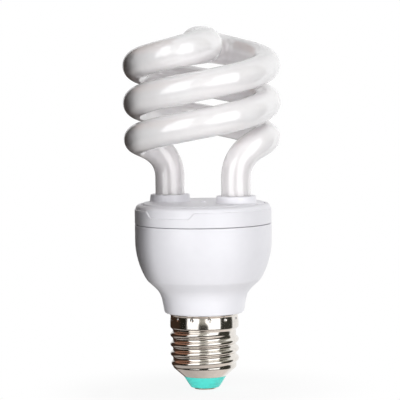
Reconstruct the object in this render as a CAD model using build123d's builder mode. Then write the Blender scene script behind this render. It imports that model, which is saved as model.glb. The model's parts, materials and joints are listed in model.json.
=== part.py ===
"""Spiral energy-saving lamp with a 27 mm Edison screw cap, in millimetres.

The lamp stands upright on its axis Z, with the glass at the top.
Zero is the underside of the centre contact.
"""

from build123d import *
from math import cos, hypot, radians, sin, sqrt, tau
import os

os.makedirs("parts", exist_ok=True)

# Screw cap
THREAD_D = 26.2  # across the crests
THREAD_DEPTH = 1.0
THREAD_PITCH = 25.4 / 7
THREAD_ANGLE = 160  # where the thread begins
SHEET = 0.4  # the cap's sheet metal
MOUTH_D = 16.4  # lower opening of the cap
MOUTH_Z = 5.0
CONE_TOP_Z = 8.4
SKIRT_Z = 23.9
CAP_RIM_Z = 29.4
RIM_HEIGHT = 1.1  # flared rim at the cap's upper end
RIM_FLARE = 0.4
PUNCH_COUNT = 12
PUNCH_ANGLE = -82
PUNCH_D = 1.5
PUNCH_DROP = 0.8  # punch marks below the flared rim
PUNCH_DEPTH = 0.2
TIP_D = 10.8  # insulator's lower face
TIP_Z = 0.6
PLUG_Z = 7.0  # top of the insulator inside the cap
CONTACT_D = 8.4
EYELET_D = 3.2

# Housing
BODY_D = 52.2
WALL = 1.8
SEAM_Z = 63.4  # where the cover meets the housing
BELLY_Z = 57.6  # where the belly's curve begins
BELLY_RADIUS = 30.0
BELLY_LOW_Z = 42.0
THROAT_D = 33.1
THROAT_Z = 37.3
THROAT_ROUND = 9.0
NECK_D = 30.2
SPIGOT_Z = 14.5  # lower end of the spigot inside the cap
SPIGOT_WALL = 1.5

# Cover
COVER_STEP_Z = 69.3  # small step round the cover's edge
COVER_EDGE_Z = 71.1
COVER_EDGE_ROUND = 1.7
DECK_Z = 71.6
DECK_D = 46.0
PLATE = 2.0
LIP_DEPTH = 3.8
LIP_WALL = 1.5
SNAP = 0.5  # height of the snap bead on the lip
COLLAR_D = 14.9
COLLAR_HEIGHT = 2.8
COLLAR_DRAFT = 0.35
GRIP_ANGLE = -121
GRIP_WIDTH = 19.5
GRIP_Z = 66.8
GRIP_STEP = 0.35

# Glass tube
TUBE_D = 11.2
APEX_D = 14.0  # the tube swells where it crosses the axis
COIL_D = 48.8  # across the coil, centre to centre
COIL_LEAD = 28.3
COIL_Z = 95.5  # coil's centre where it passes the X axis for the first time
COIL_START = 13.0
COIL_END = 408.0
LEG_SPACING = 28.8
LEG_ANGLE = -29.0
LEG_TOP_Z = 81.0
APEX_Z = 131.6
APEX_ANGLE = -66.0
LEG_DROP = 4.0  # round part of a leg below the cover's plate
SEAL_DROP = 3.6  # pinched end below the tube
CEMENT_DEPTH = 3.0

# Ballast
BOARD_T = 1.6
RIB_HEIGHT = 6.0
BULK_D = 12.5
BULK_HEIGHT = 20.0
CHOKE_W = 16.0
CHOKE_H = 13.0
CHOKE_T = 4.8
TOROID_D = 9.0
TOROID_H = 4.4
DRUM_D = 7.5
DRUM_H = 9.0
FUSE_D = 3.4
FUSE_LENGTH = 9.0
DIODE_R = 1.35
DIODE_LENGTH = 5.2
DIODE_PITCH = 7.6
RESISTOR_R = 1.2
RESISTOR_LENGTH = 6.2
RESISTOR_PITCH = 8.0
TRIGGER_R = 0.9
TRIGGER_LENGTH = 3.8
TRIGGER_PITCH = 5.2
FILM_W = 11.0  # film capacitors
FILM_H = 10.0
FILM_PITCH = 8.0
RESONANT_T = 4.5
COUPLING_T = 5.0
DISC_D = 6.0  # disc capacitor and thermistor
DISC_T = 2.6
DISC_PITCH = 4.0
TRANSISTOR_W = 7.8
TRANSISTOR_T = 2.7
TRANSISTOR_H = 10.8
TRANSISTOR_PITCH = 2.3
LEAD_R = 0.35
WIRE_R = 0.65
PIN_R = 0.5
PIN_HEIGHT = 3.4
PIN_SPREAD = 30  # angle of a pin from its leg
TUBE_LEAD_R = 0.25

# Clearances
GLASS_CLEARANCE = 0.15
BOARD_CLEARANCE = 0.4
CORE_CLEARANCE = 0.2

UP = (Align.CENTER, Align.CENTER, Align.MIN)
DOWN = (Align.CENTER, Align.CENTER, Align.MAX)

crest_r = THREAD_D / 2
root_r = crest_r - THREAD_DEPTH
ridge_r = 0.4 * THREAD_PITCH
flare_z = SKIRT_Z - THREAD_DEPTH
mouth_r = MOUTH_D / 2
body_r = BODY_D / 2
inner_r = body_r - WALL
ring_r = body_r - GRIP_STEP
spigot_r = root_r - SHEET
bore_r = spigot_r - SPIGOT_WALL
tube_r = TUBE_D / 2
coil_r = COIL_D / 2
leg_r = LEG_SPACING / 2
plate_z = DECK_Z - PLATE
board_top = SEAM_Z - LIP_DEPTH
board_z = board_top - BOARD_T
board_r = inner_r - BOARD_CLEARANCE
lead_top = board_top + 1.2


def polar(radius, angle, z):
    """Point at a radius and an angle in degrees round the lamp's axis."""
    return Vector(radius * cos(radians(angle)), radius * sin(radians(angle)), z)


def on_board(across, back):
    """Point on the board, in shares of the board's radius."""
    return across * board_r, back * board_r


def belly(radius, z):
    """Distance from the axis of a belly curve struck with this radius."""
    return body_r - BELLY_RADIUS + sqrt(radius**2 - (BELLY_Z - z) ** 2)


# Cap's cone, and the same line moved inwards by the sheet's thickness
cone_length = hypot(root_r - mouth_r, CONE_TOP_Z - MOUTH_Z)
lip_in = SHEET * (CONE_TOP_Z - MOUTH_Z) / cone_length
lip_up = SHEET * (root_r - mouth_r) / cone_length
cone_slope = (CONE_TOP_Z - MOUTH_Z) / (root_r - mouth_r)
cone_inner_z = MOUTH_Z + lip_up + (spigot_r - mouth_r + lip_in) * cone_slope
plug_r = mouth_r - lip_in + (PLUG_Z - MOUTH_Z - lip_up) / cone_slope
thread_z = CONE_TOP_Z + ridge_r
thread_rise = flare_z - 0.5 * ridge_r - thread_z


def thread_ridge(radius):
    """Ridge of the thread with a rounded crest at this radius, wound round the cap."""
    with BuildLine(Plane.XY.rotated((0, 0, THREAD_ANGLE))) as ridge_path:
        Helix(THREAD_PITCH, thread_rise, radius - ridge_r, center=(0, 0, thread_z))
    start = ridge_path.line @ 0
    with BuildSketch(Plane(start, x_dir=(start.X, start.Y, 0), z_dir=ridge_path.line % 0)) as ridge_section:
        Polygon(
            (-2 * ridge_r, -1.2 * ridge_r),
            (ridge_r, -0.7 * ridge_r),
            (ridge_r, 0.7 * ridge_r),
            (-2 * ridge_r, 1.2 * ridge_r),
            align=None,
        )
        fillet(ridge_section.vertices().group_by(Axis.X)[-1], 0.65 * ridge_r)
    sweep(ridge_section.sketch, path=ridge_path.line, is_frenet=True)


# Core of the thread, filling the cap's inside up to its sheet
with BuildPart() as cap_core:
    with BuildSketch(Plane.XZ):
        with BuildLine():
            Polyline(
                (0, MOUTH_Z - 1),
                (mouth_r - lip_in, MOUTH_Z - 1),
                (mouth_r - lip_in, MOUTH_Z + lip_up),
                (spigot_r, cone_inner_z),
                (spigot_r, flare_z),
                (crest_r - SHEET, SKIRT_Z),
                (crest_r - SHEET, CAP_RIM_Z + 1),
                (0, CAP_RIM_Z + 1),
                close=True,
            )
        make_face()
    revolve(axis=Axis.Z)
    thread_ridge(crest_r - SHEET)

with BuildPart() as screw_shell:
    with BuildSketch(Plane.XZ):
        with BuildLine():
            Polyline(
                (0, MOUTH_Z),
                (mouth_r, MOUTH_Z),
                (root_r, CONE_TOP_Z),
                (root_r, flare_z),
                (crest_r, SKIRT_Z),
                (crest_r, CAP_RIM_Z - RIM_HEIGHT),
                (crest_r + RIM_FLARE, CAP_RIM_Z),
                (0, CAP_RIM_Z),
                close=True,
            )
        make_face()
    revolve(axis=Axis.Z)
    thread_ridge(crest_r)
    add(cap_core.part, mode=Mode.SUBTRACT)
    punch_ball = (PUNCH_D**2 / 4 + PUNCH_DEPTH**2) / (2 * PUNCH_DEPTH)
    with Locations((0, 0, CAP_RIM_Z - RIM_HEIGHT - PUNCH_DROP)):
        with PolarLocations(crest_r - PUNCH_DEPTH + punch_ball, PUNCH_COUNT, start_angle=PUNCH_ANGLE):
            Sphere(punch_ball, mode=Mode.SUBTRACT)

with BuildPart() as cap_insulator:
    with BuildSketch(Plane.XZ) as plug_section:
        with BuildLine():
            Polyline(
                (EYELET_D / 2, TIP_Z),
                (TIP_D / 2, TIP_Z),
                (mouth_r, MOUTH_Z),
                (mouth_r - lip_in, MOUTH_Z),
                (mouth_r - lip_in, MOUTH_Z + lip_up),
                (plug_r, PLUG_Z),
                (EYELET_D / 2, PLUG_Z),
                close=True,
            )
        make_face()
        fillet(plug_section.vertices().sort_by_distance((TIP_D / 2, TIP_Z))[0], 0.6)
    revolve(axis=Axis.Z)

with BuildPart() as centre_contact:
    with BuildSketch(Plane.XZ) as rivet_section:
        with BuildLine():
            Polyline(
                (0, 0),
                (CONTACT_D / 2, 0),
                (CONTACT_D / 2, TIP_Z),
                (EYELET_D / 2, TIP_Z),
                (EYELET_D / 2, PLUG_Z),
                (0.8 * EYELET_D, PLUG_Z),
                (0.6 * EYELET_D, PLUG_Z + 0.6),
                (LEAD_R, PLUG_Z + 0.6),
                (LEAD_R, 0.6 * PLUG_Z),
                (0, 0.6 * PLUG_Z),
                close=True,
            )
        make_face()
        fillet(rivet_section.vertices().sort_by_distance((CONTACT_D / 2, 0))[0], 0.6 * TIP_Z)
    revolve(axis=Axis.Z)

with BuildPart() as base_housing:
    neck_inner_r = NECK_D / 2 - WALL
    bead_z = SEAM_Z - LIP_DEPTH / 2
    with BuildSketch(Plane.XZ) as wall_section:
        with BuildLine():
            Polyline(
                (body_r, BELLY_Z),
                (body_r, SEAM_Z),
                (inner_r, SEAM_Z),
                (inner_r, bead_z + 2 * SNAP),
                (inner_r + SNAP, bead_z),
                (inner_r, bead_z - 2 * SNAP),
                (inner_r, BELLY_Z),
            )
            belly_inner_z = BELLY_LOW_Z + WALL / 2
            ThreePointArc(
                (inner_r, BELLY_Z),
                (belly(BELLY_RADIUS - WALL, (BELLY_Z + belly_inner_z) / 2), (BELLY_Z + belly_inner_z) / 2),
                (belly(BELLY_RADIUS - WALL, belly_inner_z), belly_inner_z),
            )
            Polyline(
                (belly(BELLY_RADIUS - WALL, belly_inner_z), belly_inner_z),
                (THROAT_D / 2 - WALL, THROAT_Z + WALL / 2),
                (neck_inner_r, CAP_RIM_Z + WALL),
                (bore_r, CAP_RIM_Z + WALL),
                (bore_r, SPIGOT_Z),
                (spigot_r, SPIGOT_Z),
                (spigot_r, flare_z),
                (crest_r - SHEET, SKIRT_Z),
                (crest_r - SHEET, CAP_RIM_Z),
                (NECK_D / 2, CAP_RIM_Z),
                (THROAT_D / 2, THROAT_Z),
                (belly(BELLY_RADIUS, BELLY_LOW_Z), BELLY_LOW_Z),
            )
            ThreePointArc(
                (belly(BELLY_RADIUS, BELLY_LOW_Z), BELLY_LOW_Z),
                (belly(BELLY_RADIUS, (BELLY_Z + BELLY_LOW_Z) / 2), (BELLY_Z + BELLY_LOW_Z) / 2),
                (body_r, BELLY_Z),
            )
        make_face()
        corners = wall_section.vertices()
        fillet(corners.sort_by_distance((NECK_D / 2, CAP_RIM_Z))[0], 0.9)
        corners = wall_section.vertices()
        fillet(corners.sort_by_distance((THROAT_D / 2, THROAT_Z))[0], THROAT_ROUND)
        corners = wall_section.vertices()
        fillet(corners.sort_by_distance((belly(BELLY_RADIUS, BELLY_LOW_Z), BELLY_LOW_Z))[0], 5.0)
    revolve(axis=Axis.Z)
    # Ribs that the board rests on
    rib_in = board_r - 1.6
    rib_out = inner_r + 0.3 * WALL
    with BuildSketch(Plane.XY.offset(board_z)):
        with PolarLocations((rib_in + rib_out) / 2, 4, start_angle=15):
            Rectangle(rib_out - rib_in, 1.6)
    extrude(amount=-RIB_HEIGHT)

# Shape that the two finger grips leave in the cover's edge
with BuildPart() as grip_cutter:
    grip_side = polar(1, GRIP_ANGLE, 0)
    grip_plane = Plane(polar(body_r + 1, GRIP_ANGLE, 0), x_dir=polar(1, GRIP_ANGLE + 90, 0), z_dir=grip_side)
    with BuildSketch(grip_plane) as grip_outline:
        with Locations((0, GRIP_Z)):
            Rectangle(GRIP_WIDTH, DECK_Z - GRIP_Z, align=(Align.CENTER, Align.MIN))
        low_corners = grip_outline.vertices().sort_by(Axis.Y)[:2]
        fillet(low_corners, 0.6 * (DECK_Z - GRIP_Z))
    extrude(amount=-body_r / 3)
    with Locations((0, 0, GRIP_Z - 1)):
        Cylinder(ring_r, DECK_Z - GRIP_Z + 2, align=UP, mode=Mode.SUBTRACT)

with BuildPart() as top_cover:
    deck_r = DECK_D / 2
    edge_round = min(COVER_EDGE_ROUND, 0.95 * (COVER_EDGE_Z - COVER_STEP_Z))
    groove_r = (deck_r + ring_r - edge_round) / 2
    lip_r = inner_r - LIP_WALL
    with BuildSketch(Plane.XZ) as cover_section:
        with BuildLine():
            Polyline(
                (0, plate_z),
                (lip_r, plate_z),
                (lip_r, board_top),
                (inner_r, board_top),
                (inner_r, bead_z - 2 * SNAP),
                (inner_r + SNAP, bead_z),
                (inner_r, bead_z + 2 * SNAP),
                (inner_r, SEAM_Z),
                (body_r, SEAM_Z),
                (body_r, COVER_STEP_Z),
                (ring_r, COVER_STEP_Z),
                (ring_r, COVER_EDGE_Z),
                (groove_r + 0.3, COVER_EDGE_Z),
                (groove_r, COVER_EDGE_Z - 0.7),
                (deck_r, DECK_Z),
                (0, DECK_Z),
                close=True,
            )
        make_face()
        corners = cover_section.vertices()
        fillet(corners.sort_by_distance((ring_r, COVER_EDGE_Z))[0], edge_round)
        corners = cover_section.vertices()
        fillet(corners.sort_by_distance((deck_r, DECK_Z))[0], 0.8)
        corners = cover_section.vertices()
        fillet(corners.sort_by_distance((body_r, SEAM_Z))[0], 0.3)
    revolve(axis=Axis.Z)
    collar_r = COLLAR_D / 2
    with Locations((0, 0, DECK_Z)):
        with PolarLocations(leg_r, 2, start_angle=LEG_ANGLE):
            Cone(collar_r + COLLAR_DRAFT, collar_r, COLLAR_HEIGHT, align=UP)
    rims = top_cover.edges().filter_by(GeomType.CIRCLE).group_by(Axis.Z)[-1]
    fillet(rims, 0.4)
    with Locations((0, 0, plate_z)):
        with PolarLocations(leg_r, 2, start_angle=LEG_ANGLE):
            Cylinder(tube_r + GLASS_CLEARANCE, PLATE + COLLAR_HEIGHT, align=UP, mode=Mode.SUBTRACT)
    with PolarLocations(0, 2):
        add(grip_cutter.part, mode=Mode.SUBTRACT)
    # Mark of the moulding gate
    with Locations((0, 0, DECK_Z)):
        Cone(1.0, 0.6, 0.5, align=UP)


def coil_heading(angle):
    """Direction in which the coil runs at an angle, for a coil that starts at zero."""
    return Vector(-coil_r * sin(radians(angle)), coil_r * cos(radians(angle)), COIL_LEAD / tau).normalized()


# One of the two like halves of the tube, with its coil starting on the X axis
with BuildPart() as tube_half:
    coil_low_z = COIL_Z + COIL_LEAD * COIL_START / 360
    coil_high_z = COIL_Z + COIL_LEAD * COIL_END / 360
    coil_sweep = COIL_END - COIL_START
    tube_end = polar(leg_r, LEG_ANGLE - COIL_START, plate_z - LEG_DROP)
    leg_top = polar(leg_r, LEG_ANGLE - COIL_START, LEG_TOP_Z)
    coil_low = polar(coil_r, 0, coil_low_z)
    coil_high = polar(coil_r, coil_sweep, coil_high_z)
    apex = Vector(0, 0, APEX_Z)
    apex_heading = polar(1, APEX_ANGLE - COIL_START, 0)
    with BuildLine() as winding:
        Line(tube_end, leg_top)
        Bezier(
            leg_top,
            leg_top + Vector(0, 0, 0.53 * coil_r),
            coil_low - coil_heading(0) * 0.48 * coil_r,
            coil_low,
        )
        Helix(COIL_LEAD, coil_high_z - coil_low_z, coil_r, center=(0, 0, coil_low_z))
    with BuildSketch(Plane(tube_end, z_dir=(0, 0, 1))):
        Circle(tube_r)
    sweep(path=winding.wires()[0])
    with BuildLine() as crossing:
        Bezier(
            coil_high,
            coil_high + coil_heading(coil_sweep) * 0.57 * coil_r,
            apex - apex_heading * 0.51 * coil_r,
            apex,
        )
    with BuildSketch(Plane(coil_high, z_dir=coil_heading(coil_sweep))) as slim_section:
        Circle(tube_r)
    with BuildSketch(Plane(apex, z_dir=apex_heading)) as swollen_section:
        Circle(APEX_D / 2)
    sweep(sections=[slim_section.sketch, swollen_section.sketch], path=crossing.line, multisection=True)
    # Pinched seal at the leg's end
    with Locations(Location(tube_end, (0, 0, LEG_ANGLE - COIL_START))):
        Box(0.26 * TUBE_D, 0.72 * TUBE_D, SEAL_DROP, align=DOWN)

with BuildPart() as glass_tube:
    with PolarLocations(0, 2, start_angle=COIL_START):
        add(tube_half.part)

with BuildPart() as leg_cement:
    with Locations((0, 0, plate_z)):
        with PolarLocations(leg_r, 2, start_angle=LEG_ANGLE):
            Cone(tube_r + 1.2, tube_r + 2.4, CEMENT_DEPTH, align=DOWN)
            Cylinder(tube_r, CEMENT_DEPTH, align=DOWN, mode=Mode.SUBTRACT)
        # The cover's lip holds the cement back
        Cylinder(lip_r, CEMENT_DEPTH, align=DOWN, mode=Mode.INTERSECT)

# Bent-lead parts lie under the board and touch it
diode_places = [on_board(-0.46, -0.39), on_board(-0.46, -0.53), on_board(-0.46, -0.67), on_board(0.06, -0.7)]
resistor_places = [on_board(0.42, -0.7), on_board(0.06, -0.83), on_board(0.55, 0.42), on_board(0.52, 0.55)]
trigger_places = [on_board(0.5, 0.67)]


def bent_leads(places, pitch, axis_z):
    """Leads that leave a lying part at both ends and turn up through the board."""
    with Locations(*[(x, y, axis_z) for x, y in places]):
        Cylinder(LEAD_R, pitch, rotation=(0, 90, 0))
    with Locations(*[(x + side * pitch / 2, y, axis_z) for x, y in places for side in (-1, 1)]):
        Sphere(LEAD_R)
        Cylinder(LEAD_R, lead_top - axis_z, align=UP)


def bent_holes(places, pitch):
    """Board holes of lying parts."""
    return [(x + side * pitch / 2, y) for x, y in places for side in (-1, 1)]


with BuildPart() as rectifier_diodes:
    with Locations(*[(x, y, board_z - DIODE_R) for x, y in diode_places]):
        Cylinder(DIODE_R, DIODE_LENGTH, rotation=(0, 90, 0))
    bent_leads(diode_places, DIODE_PITCH, board_z - DIODE_R)

with BuildPart() as resistors:
    with Locations(*[(x, y, board_z - RESISTOR_R) for x, y in resistor_places]):
        Cylinder(0.85 * RESISTOR_R, RESISTOR_LENGTH, rotation=(0, 90, 0))
    bulge = 0.22 * RESISTOR_LENGTH
    bulge_x = (RESISTOR_LENGTH - bulge) / 2
    ends = [(x + side * bulge_x, y, board_z - RESISTOR_R) for x, y in resistor_places for side in (-1, 1)]
    with Locations(*ends):
        Cylinder(RESISTOR_R, bulge, rotation=(0, 90, 0))
    bent_leads(resistor_places, RESISTOR_PITCH, board_z - RESISTOR_R)

with BuildPart() as trigger_diode:
    with Locations(*[(x, y, board_z - TRIGGER_R) for x, y in trigger_places]):
        Cylinder(TRIGGER_R, TRIGGER_LENGTH, rotation=(0, 90, 0))
    bent_leads(trigger_places, TRIGGER_PITCH, board_z - TRIGGER_R)

# Radial parts hang from the board by straight leads
bulk_x, bulk_y = on_board(-0.28, 0)
bulk_holes = [(bulk_x, bulk_y - 2.5), (bulk_x, bulk_y + 2.5)]
with BuildPart() as bulk_capacitor:
    bulk_r = BULK_D / 2
    with BuildSketch(Plane.XZ.offset(-bulk_y)) as can_section:
        with BuildLine():
            Polyline(
                (bulk_x, board_z),
                (bulk_x + 0.9 * bulk_r, board_z),
                (bulk_x + bulk_r, board_z - 0.6),
                (bulk_x + bulk_r, board_z - 2.0),
                (bulk_x + 0.9 * bulk_r, board_z - 2.6),
                (bulk_x + bulk_r, board_z - 3.2),
                (bulk_x + bulk_r, board_z - BULK_HEIGHT),
                (bulk_x, board_z - BULK_HEIGHT),
                close=True,
            )
        make_face()
        corners = can_section.vertices()
        fillet(corners.sort_by_distance((bulk_x + bulk_r, board_z - BULK_HEIGHT))[0], 0.8)
    revolve(axis=Axis((bulk_x, bulk_y, 0), (0, 0, 1)))
    with Locations((bulk_x, bulk_y, board_z - BULK_HEIGHT)):
        Box(1.3 * bulk_r, 0.5, 0.6, mode=Mode.SUBTRACT)
        Box(0.5, 1.3 * bulk_r, 0.6, mode=Mode.SUBTRACT)
    with Locations(*[(x, y, board_z) for x, y in bulk_holes]):
        Cylinder(LEAD_R, lead_top - board_z, align=UP)

resonant_x, resonant_y = on_board(0.06, 0.48)
resonant_holes = [(resonant_x + side * FILM_PITCH / 2, resonant_y) for side in (-1, 1)]
with BuildPart() as resonant_capacitor:
    with Locations((resonant_x, resonant_y, board_z)):
        Box(FILM_W, RESONANT_T, FILM_H, align=DOWN)
    fillet(resonant_capacitor.edges().filter_by(Axis.Z), RESONANT_T / 3)
    fillet(resonant_capacitor.edges().group_by(Axis.Z)[0], RESONANT_T / 5)
    with Locations(*[(x, y, board_z) for x, y in resonant_holes]):
        Cylinder(LEAD_R, lead_top - board_z, align=UP)

coupling_x, coupling_y = on_board(0.06, 0.73)
coupling_holes = [(coupling_x + side * FILM_PITCH / 2, coupling_y) for side in (-1, 1)]
with BuildPart() as coupling_capacitor:
    with Locations((coupling_x, coupling_y, board_z)):
        Box(FILM_W, COUPLING_T, FILM_H, align=DOWN)
    fillet(coupling_capacitor.edges().filter_by(Axis.Z), COUPLING_T / 3)
    fillet(coupling_capacitor.edges().group_by(Axis.Z)[0], COUPLING_T / 5)
    with Locations(*[(x, y, board_z) for x, y in coupling_holes]):
        Cylinder(LEAD_R, lead_top - board_z, align=UP)

disc_x, disc_y = on_board(-0.75, 0.22)
disc_holes = [(disc_x, disc_y + side * DISC_PITCH / 2) for side in (-1, 1)]
with BuildPart() as start_capacitor:
    with Locations((disc_x, disc_y, board_z - DISC_D / 2)):
        Cylinder(DISC_D / 2, DISC_T, rotation=(0, 90, 0))
    fillet(start_capacitor.edges(), 0.3 * DISC_T)
    with Locations(*[(x, y, board_z - DISC_D / 3) for x, y in disc_holes]):
        Cylinder(LEAD_R, lead_top - board_z + DISC_D / 3, align=UP)

thermistor_x, thermistor_y = on_board(0.7, -0.4)
thermistor_holes = [(thermistor_x + side * DISC_PITCH / 2, thermistor_y) for side in (-1, 1)]
with BuildPart() as thermistor:
    with Locations((thermistor_x, thermistor_y, board_z - DISC_D / 2)):
        Cylinder(DISC_D / 2, 1.2 * DISC_T, rotation=(90, 0, 0))
    fillet(thermistor.edges(), 0.2 * DISC_T)
    with Locations(*[(x, y, board_z - DISC_D / 3) for x, y in thermistor_holes]):
        Cylinder(LEAD_R, lead_top - board_z + DISC_D / 3, align=UP)

transistor_places = [on_board(-0.06, -0.5), on_board(0.34, -0.5)]
transistor_holes = [(x + step * TRANSISTOR_PITCH, y) for x, y in transistor_places for step in (-1, 0, 1)]
with BuildPart() as switch_transistors:
    with Locations(*[(x, y, board_z - 3) for x, y in transistor_places]):
        Box(TRANSISTOR_W, TRANSISTOR_T, TRANSISTOR_H, align=DOWN)
    with Locations(*[(x, y, board_z - 3 - 0.7 * TRANSISTOR_H) for x, y in transistor_places]):
        Cylinder(0.2 * TRANSISTOR_W, TRANSISTOR_T, rotation=(90, 0, 0), mode=Mode.SUBTRACT)
    with Locations(*[(x, y, board_z) for x, y in transistor_holes]):
        Box(1.2, 0.7, 3, align=DOWN)
        Cylinder(LEAD_R, lead_top - board_z, align=UP)

# Drive transformer: a ring core with three small windings of three turns each
toroid_x, toroid_y = on_board(-0.46, 0.53)
toroid_wire = 0.4
toroid_bore_r = 0.26 * TOROID_D
toroid_mid_z = board_z - toroid_wire - TOROID_H / 2
with BuildPart() as toroid_core:
    with Locations((toroid_x, toroid_y, toroid_mid_z)):
        Cylinder(TOROID_D / 2, TOROID_H)
        Cylinder(toroid_bore_r, TOROID_H, mode=Mode.SUBTRACT)

with BuildPart() as toroid_winding:
    slack = 0.02
    loop_width = TOROID_D / 2 - toroid_bore_r + slack
    loop_r = (TOROID_D / 2 + toroid_bore_r - slack) / 2
    for turn in (-16, 0, 16):
        with Locations((toroid_x, toroid_y, toroid_mid_z)):
            with PolarLocations(loop_r, 3, start_angle=turn):
                Box(loop_width + 2 * toroid_wire, 0.9 * toroid_wire, TOROID_H + 2 * toroid_wire)
                Box(loop_width, toroid_wire, TOROID_H, mode=Mode.SUBTRACT)

# Output choke: two E-shaped cores that meet inside a wound bobbin
choke_x, choke_y = on_board(0.44, 0)
choke_leg = 0.3 * CHOKE_W
choke_side = choke_leg / 2
choke_top_z = board_z - 0.3
window_h = CHOKE_H - 2 * choke_side
choke_mid_z = choke_top_z - CHOKE_H / 2
with BuildPart() as choke_core:
    with BuildSketch(Plane.XZ.offset(-choke_y)):
        with Locations((choke_x, choke_mid_z)):
            Rectangle(CHOKE_W, CHOKE_H)
        window_w = (CHOKE_W - choke_leg - 2 * choke_side) / 2
        with Locations((choke_x, choke_mid_z)):
            with GridLocations(window_w + choke_leg, 0, 2, 1):
                Rectangle(window_w, window_h, mode=Mode.SUBTRACT)
    extrude(amount=CHOKE_T / 2, both=True)
    split(bisect_by=Plane.XY.offset(choke_mid_z), keep=Keep.BOTH)

bobbin_in = choke_leg + CORE_CLEARANCE
bobbin_out = bobbin_in + 1.2
flange_t = 0.7
flange_w = CHOKE_W - 2 * choke_side - 2 * CORE_CLEARANCE
flange_l = 12.4
choke_holes = [(choke_x + i * 4, choke_y + j * 4.6) for i in (-1, 1) for j in (-1, 1)]
with BuildPart() as choke_bobbin:
    with Locations((choke_x, choke_y, choke_mid_z)):
        Box(bobbin_out, bobbin_out, window_h)
        with Locations((0, 0, window_h / 2), (0, 0, flange_t - window_h / 2)):
            Box(flange_w, flange_l, flange_t, align=DOWN)
        Box(bobbin_in, bobbin_in, window_h, mode=Mode.SUBTRACT)
    rail_w = flange_l / 2 - CHOKE_T / 2 - CORE_CLEARANCE
    rail_z = choke_mid_z + window_h / 2
    with Locations((choke_x, choke_y, rail_z)):
        with GridLocations(0, flange_l - rail_w, 1, 2):
            Box(flange_w, rail_w, board_z - rail_z, align=UP)
    with Locations(*[(x, y, board_z) for x, y in choke_holes]):
        Cylinder(LEAD_R, lead_top - board_z, align=UP)

with BuildPart() as choke_winding:
    with BuildSketch(Plane.XY.offset(choke_mid_z)):
        with Locations((choke_x, choke_y)):
            RectangleRounded(flange_w - 0.6, flange_l - 1.6, 2.0)
            Rectangle(bobbin_out, bobbin_out, mode=Mode.SUBTRACT)
    extrude(amount=window_h / 2 - flange_t, both=True)

# Mains filter: a wound drum
drum_x, drum_y = on_board(-0.74, -0.17)
drum_holes = [(drum_x, drum_y - 2), (drum_x, drum_y + 2)]
with BuildPart() as filter_core:
    with Locations((drum_x, drum_y, board_z)):
        Cylinder(DRUM_D / 2, DRUM_H, align=DOWN)
    with Locations((drum_x, drum_y, board_z - 1.4)):
        Cylinder(DRUM_D / 2, DRUM_H - 2.8, align=DOWN, mode=Mode.SUBTRACT)
        Cylinder(DRUM_D / 4, DRUM_H - 2.8, align=DOWN)
    with Locations(*[(x, y, board_z) for x, y in drum_holes]):
        Cylinder(LEAD_R, lead_top - board_z, align=UP)

with BuildPart() as filter_winding:
    with Locations((drum_x, drum_y, board_z - 1.4)):
        Cylinder(0.46 * DRUM_D, DRUM_H - 2.8, align=DOWN)
        Cylinder(DRUM_D / 4, DRUM_H - 2.8, align=DOWN, mode=Mode.SUBTRACT)

# Supply wires: the live side passes through the fuse, the other is soldered inside the cap
fuse_z = PLUG_Z + 6
fuse_top = fuse_z + FUSE_LENGTH
with BuildPart() as fuse_resistor:
    with Locations((0, 0, fuse_z)):
        Cylinder(FUSE_D / 2, FUSE_LENGTH, align=UP)
    fillet(fuse_resistor.edges(), 0.6)
    with Locations((0, 0, 0.6 * PLUG_Z)):
        Cylinder(LEAD_R, fuse_top + 2 - 0.6 * PLUG_Z, align=UP)

live_x, live_y = on_board(0.04, -0.335)
with BuildPart() as live_wire:
    with BuildLine() as live_path:
        FilletPolyline(
            (0, 0, fuse_top + 2),
            (0, 0, fuse_top + 6),
            (live_x, live_y, fuse_top + 13),
            (live_x, live_y, board_z),
            radius=2.0,
        )
    with BuildSketch(Plane(live_path.wires()[0] @ 0, z_dir=(0, 0, 1))):
        Circle(WIRE_R)
    sweep(path=live_path.wires()[0])
    with Locations((live_x, live_y, board_z)):
        Cylinder(LEAD_R, lead_top - board_z, align=UP)

neutral_x, neutral_y = on_board(0.04, 0.335)
neutral_r = hypot(neutral_x, neutral_y)
joint_r = spigot_r - 1.4
joint = Vector(neutral_x / neutral_r * joint_r, neutral_y / neutral_r * joint_r, cone_inner_z)

# Drop of solder against the inside of the cap
with BuildPart() as cap_joint:
    with Locations(joint):
        Sphere(1.3)
    add(cap_core.part, mode=Mode.INTERSECT)

with BuildPart() as neutral_wire:
    with BuildLine() as neutral_path:
        FilletPolyline(
            (neutral_x, neutral_y, board_z),
            (neutral_x, neutral_y, cone_inner_z + 1.4),
            joint,
            radius=0.9,
        )
    with BuildSketch(Plane(neutral_path.wires()[0] @ 0, z_dir=(0, 0, -1))):
        Circle(WIRE_R)
    sweep(path=neutral_path.wires()[0])
    add(cap_joint.part)
    with Locations((neutral_x, neutral_y, board_z)):
        Cylinder(LEAD_R, lead_top - board_z, align=UP)

# Wrap pins on the board's upper side, and the tube's leads wound on them
pin_r = 0.8 * board_r
pin_angles = [LEG_ANGLE + half + side * PIN_SPREAD for half in (0, 180) for side in (-1, 1)]
pin_places = [polar(pin_r, angle, board_z) for angle in pin_angles]
with BuildPart() as wrap_pins:
    with Locations(*pin_places):
        Cylinder(PIN_R, BOARD_T + PIN_HEIGHT, align=UP)

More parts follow.
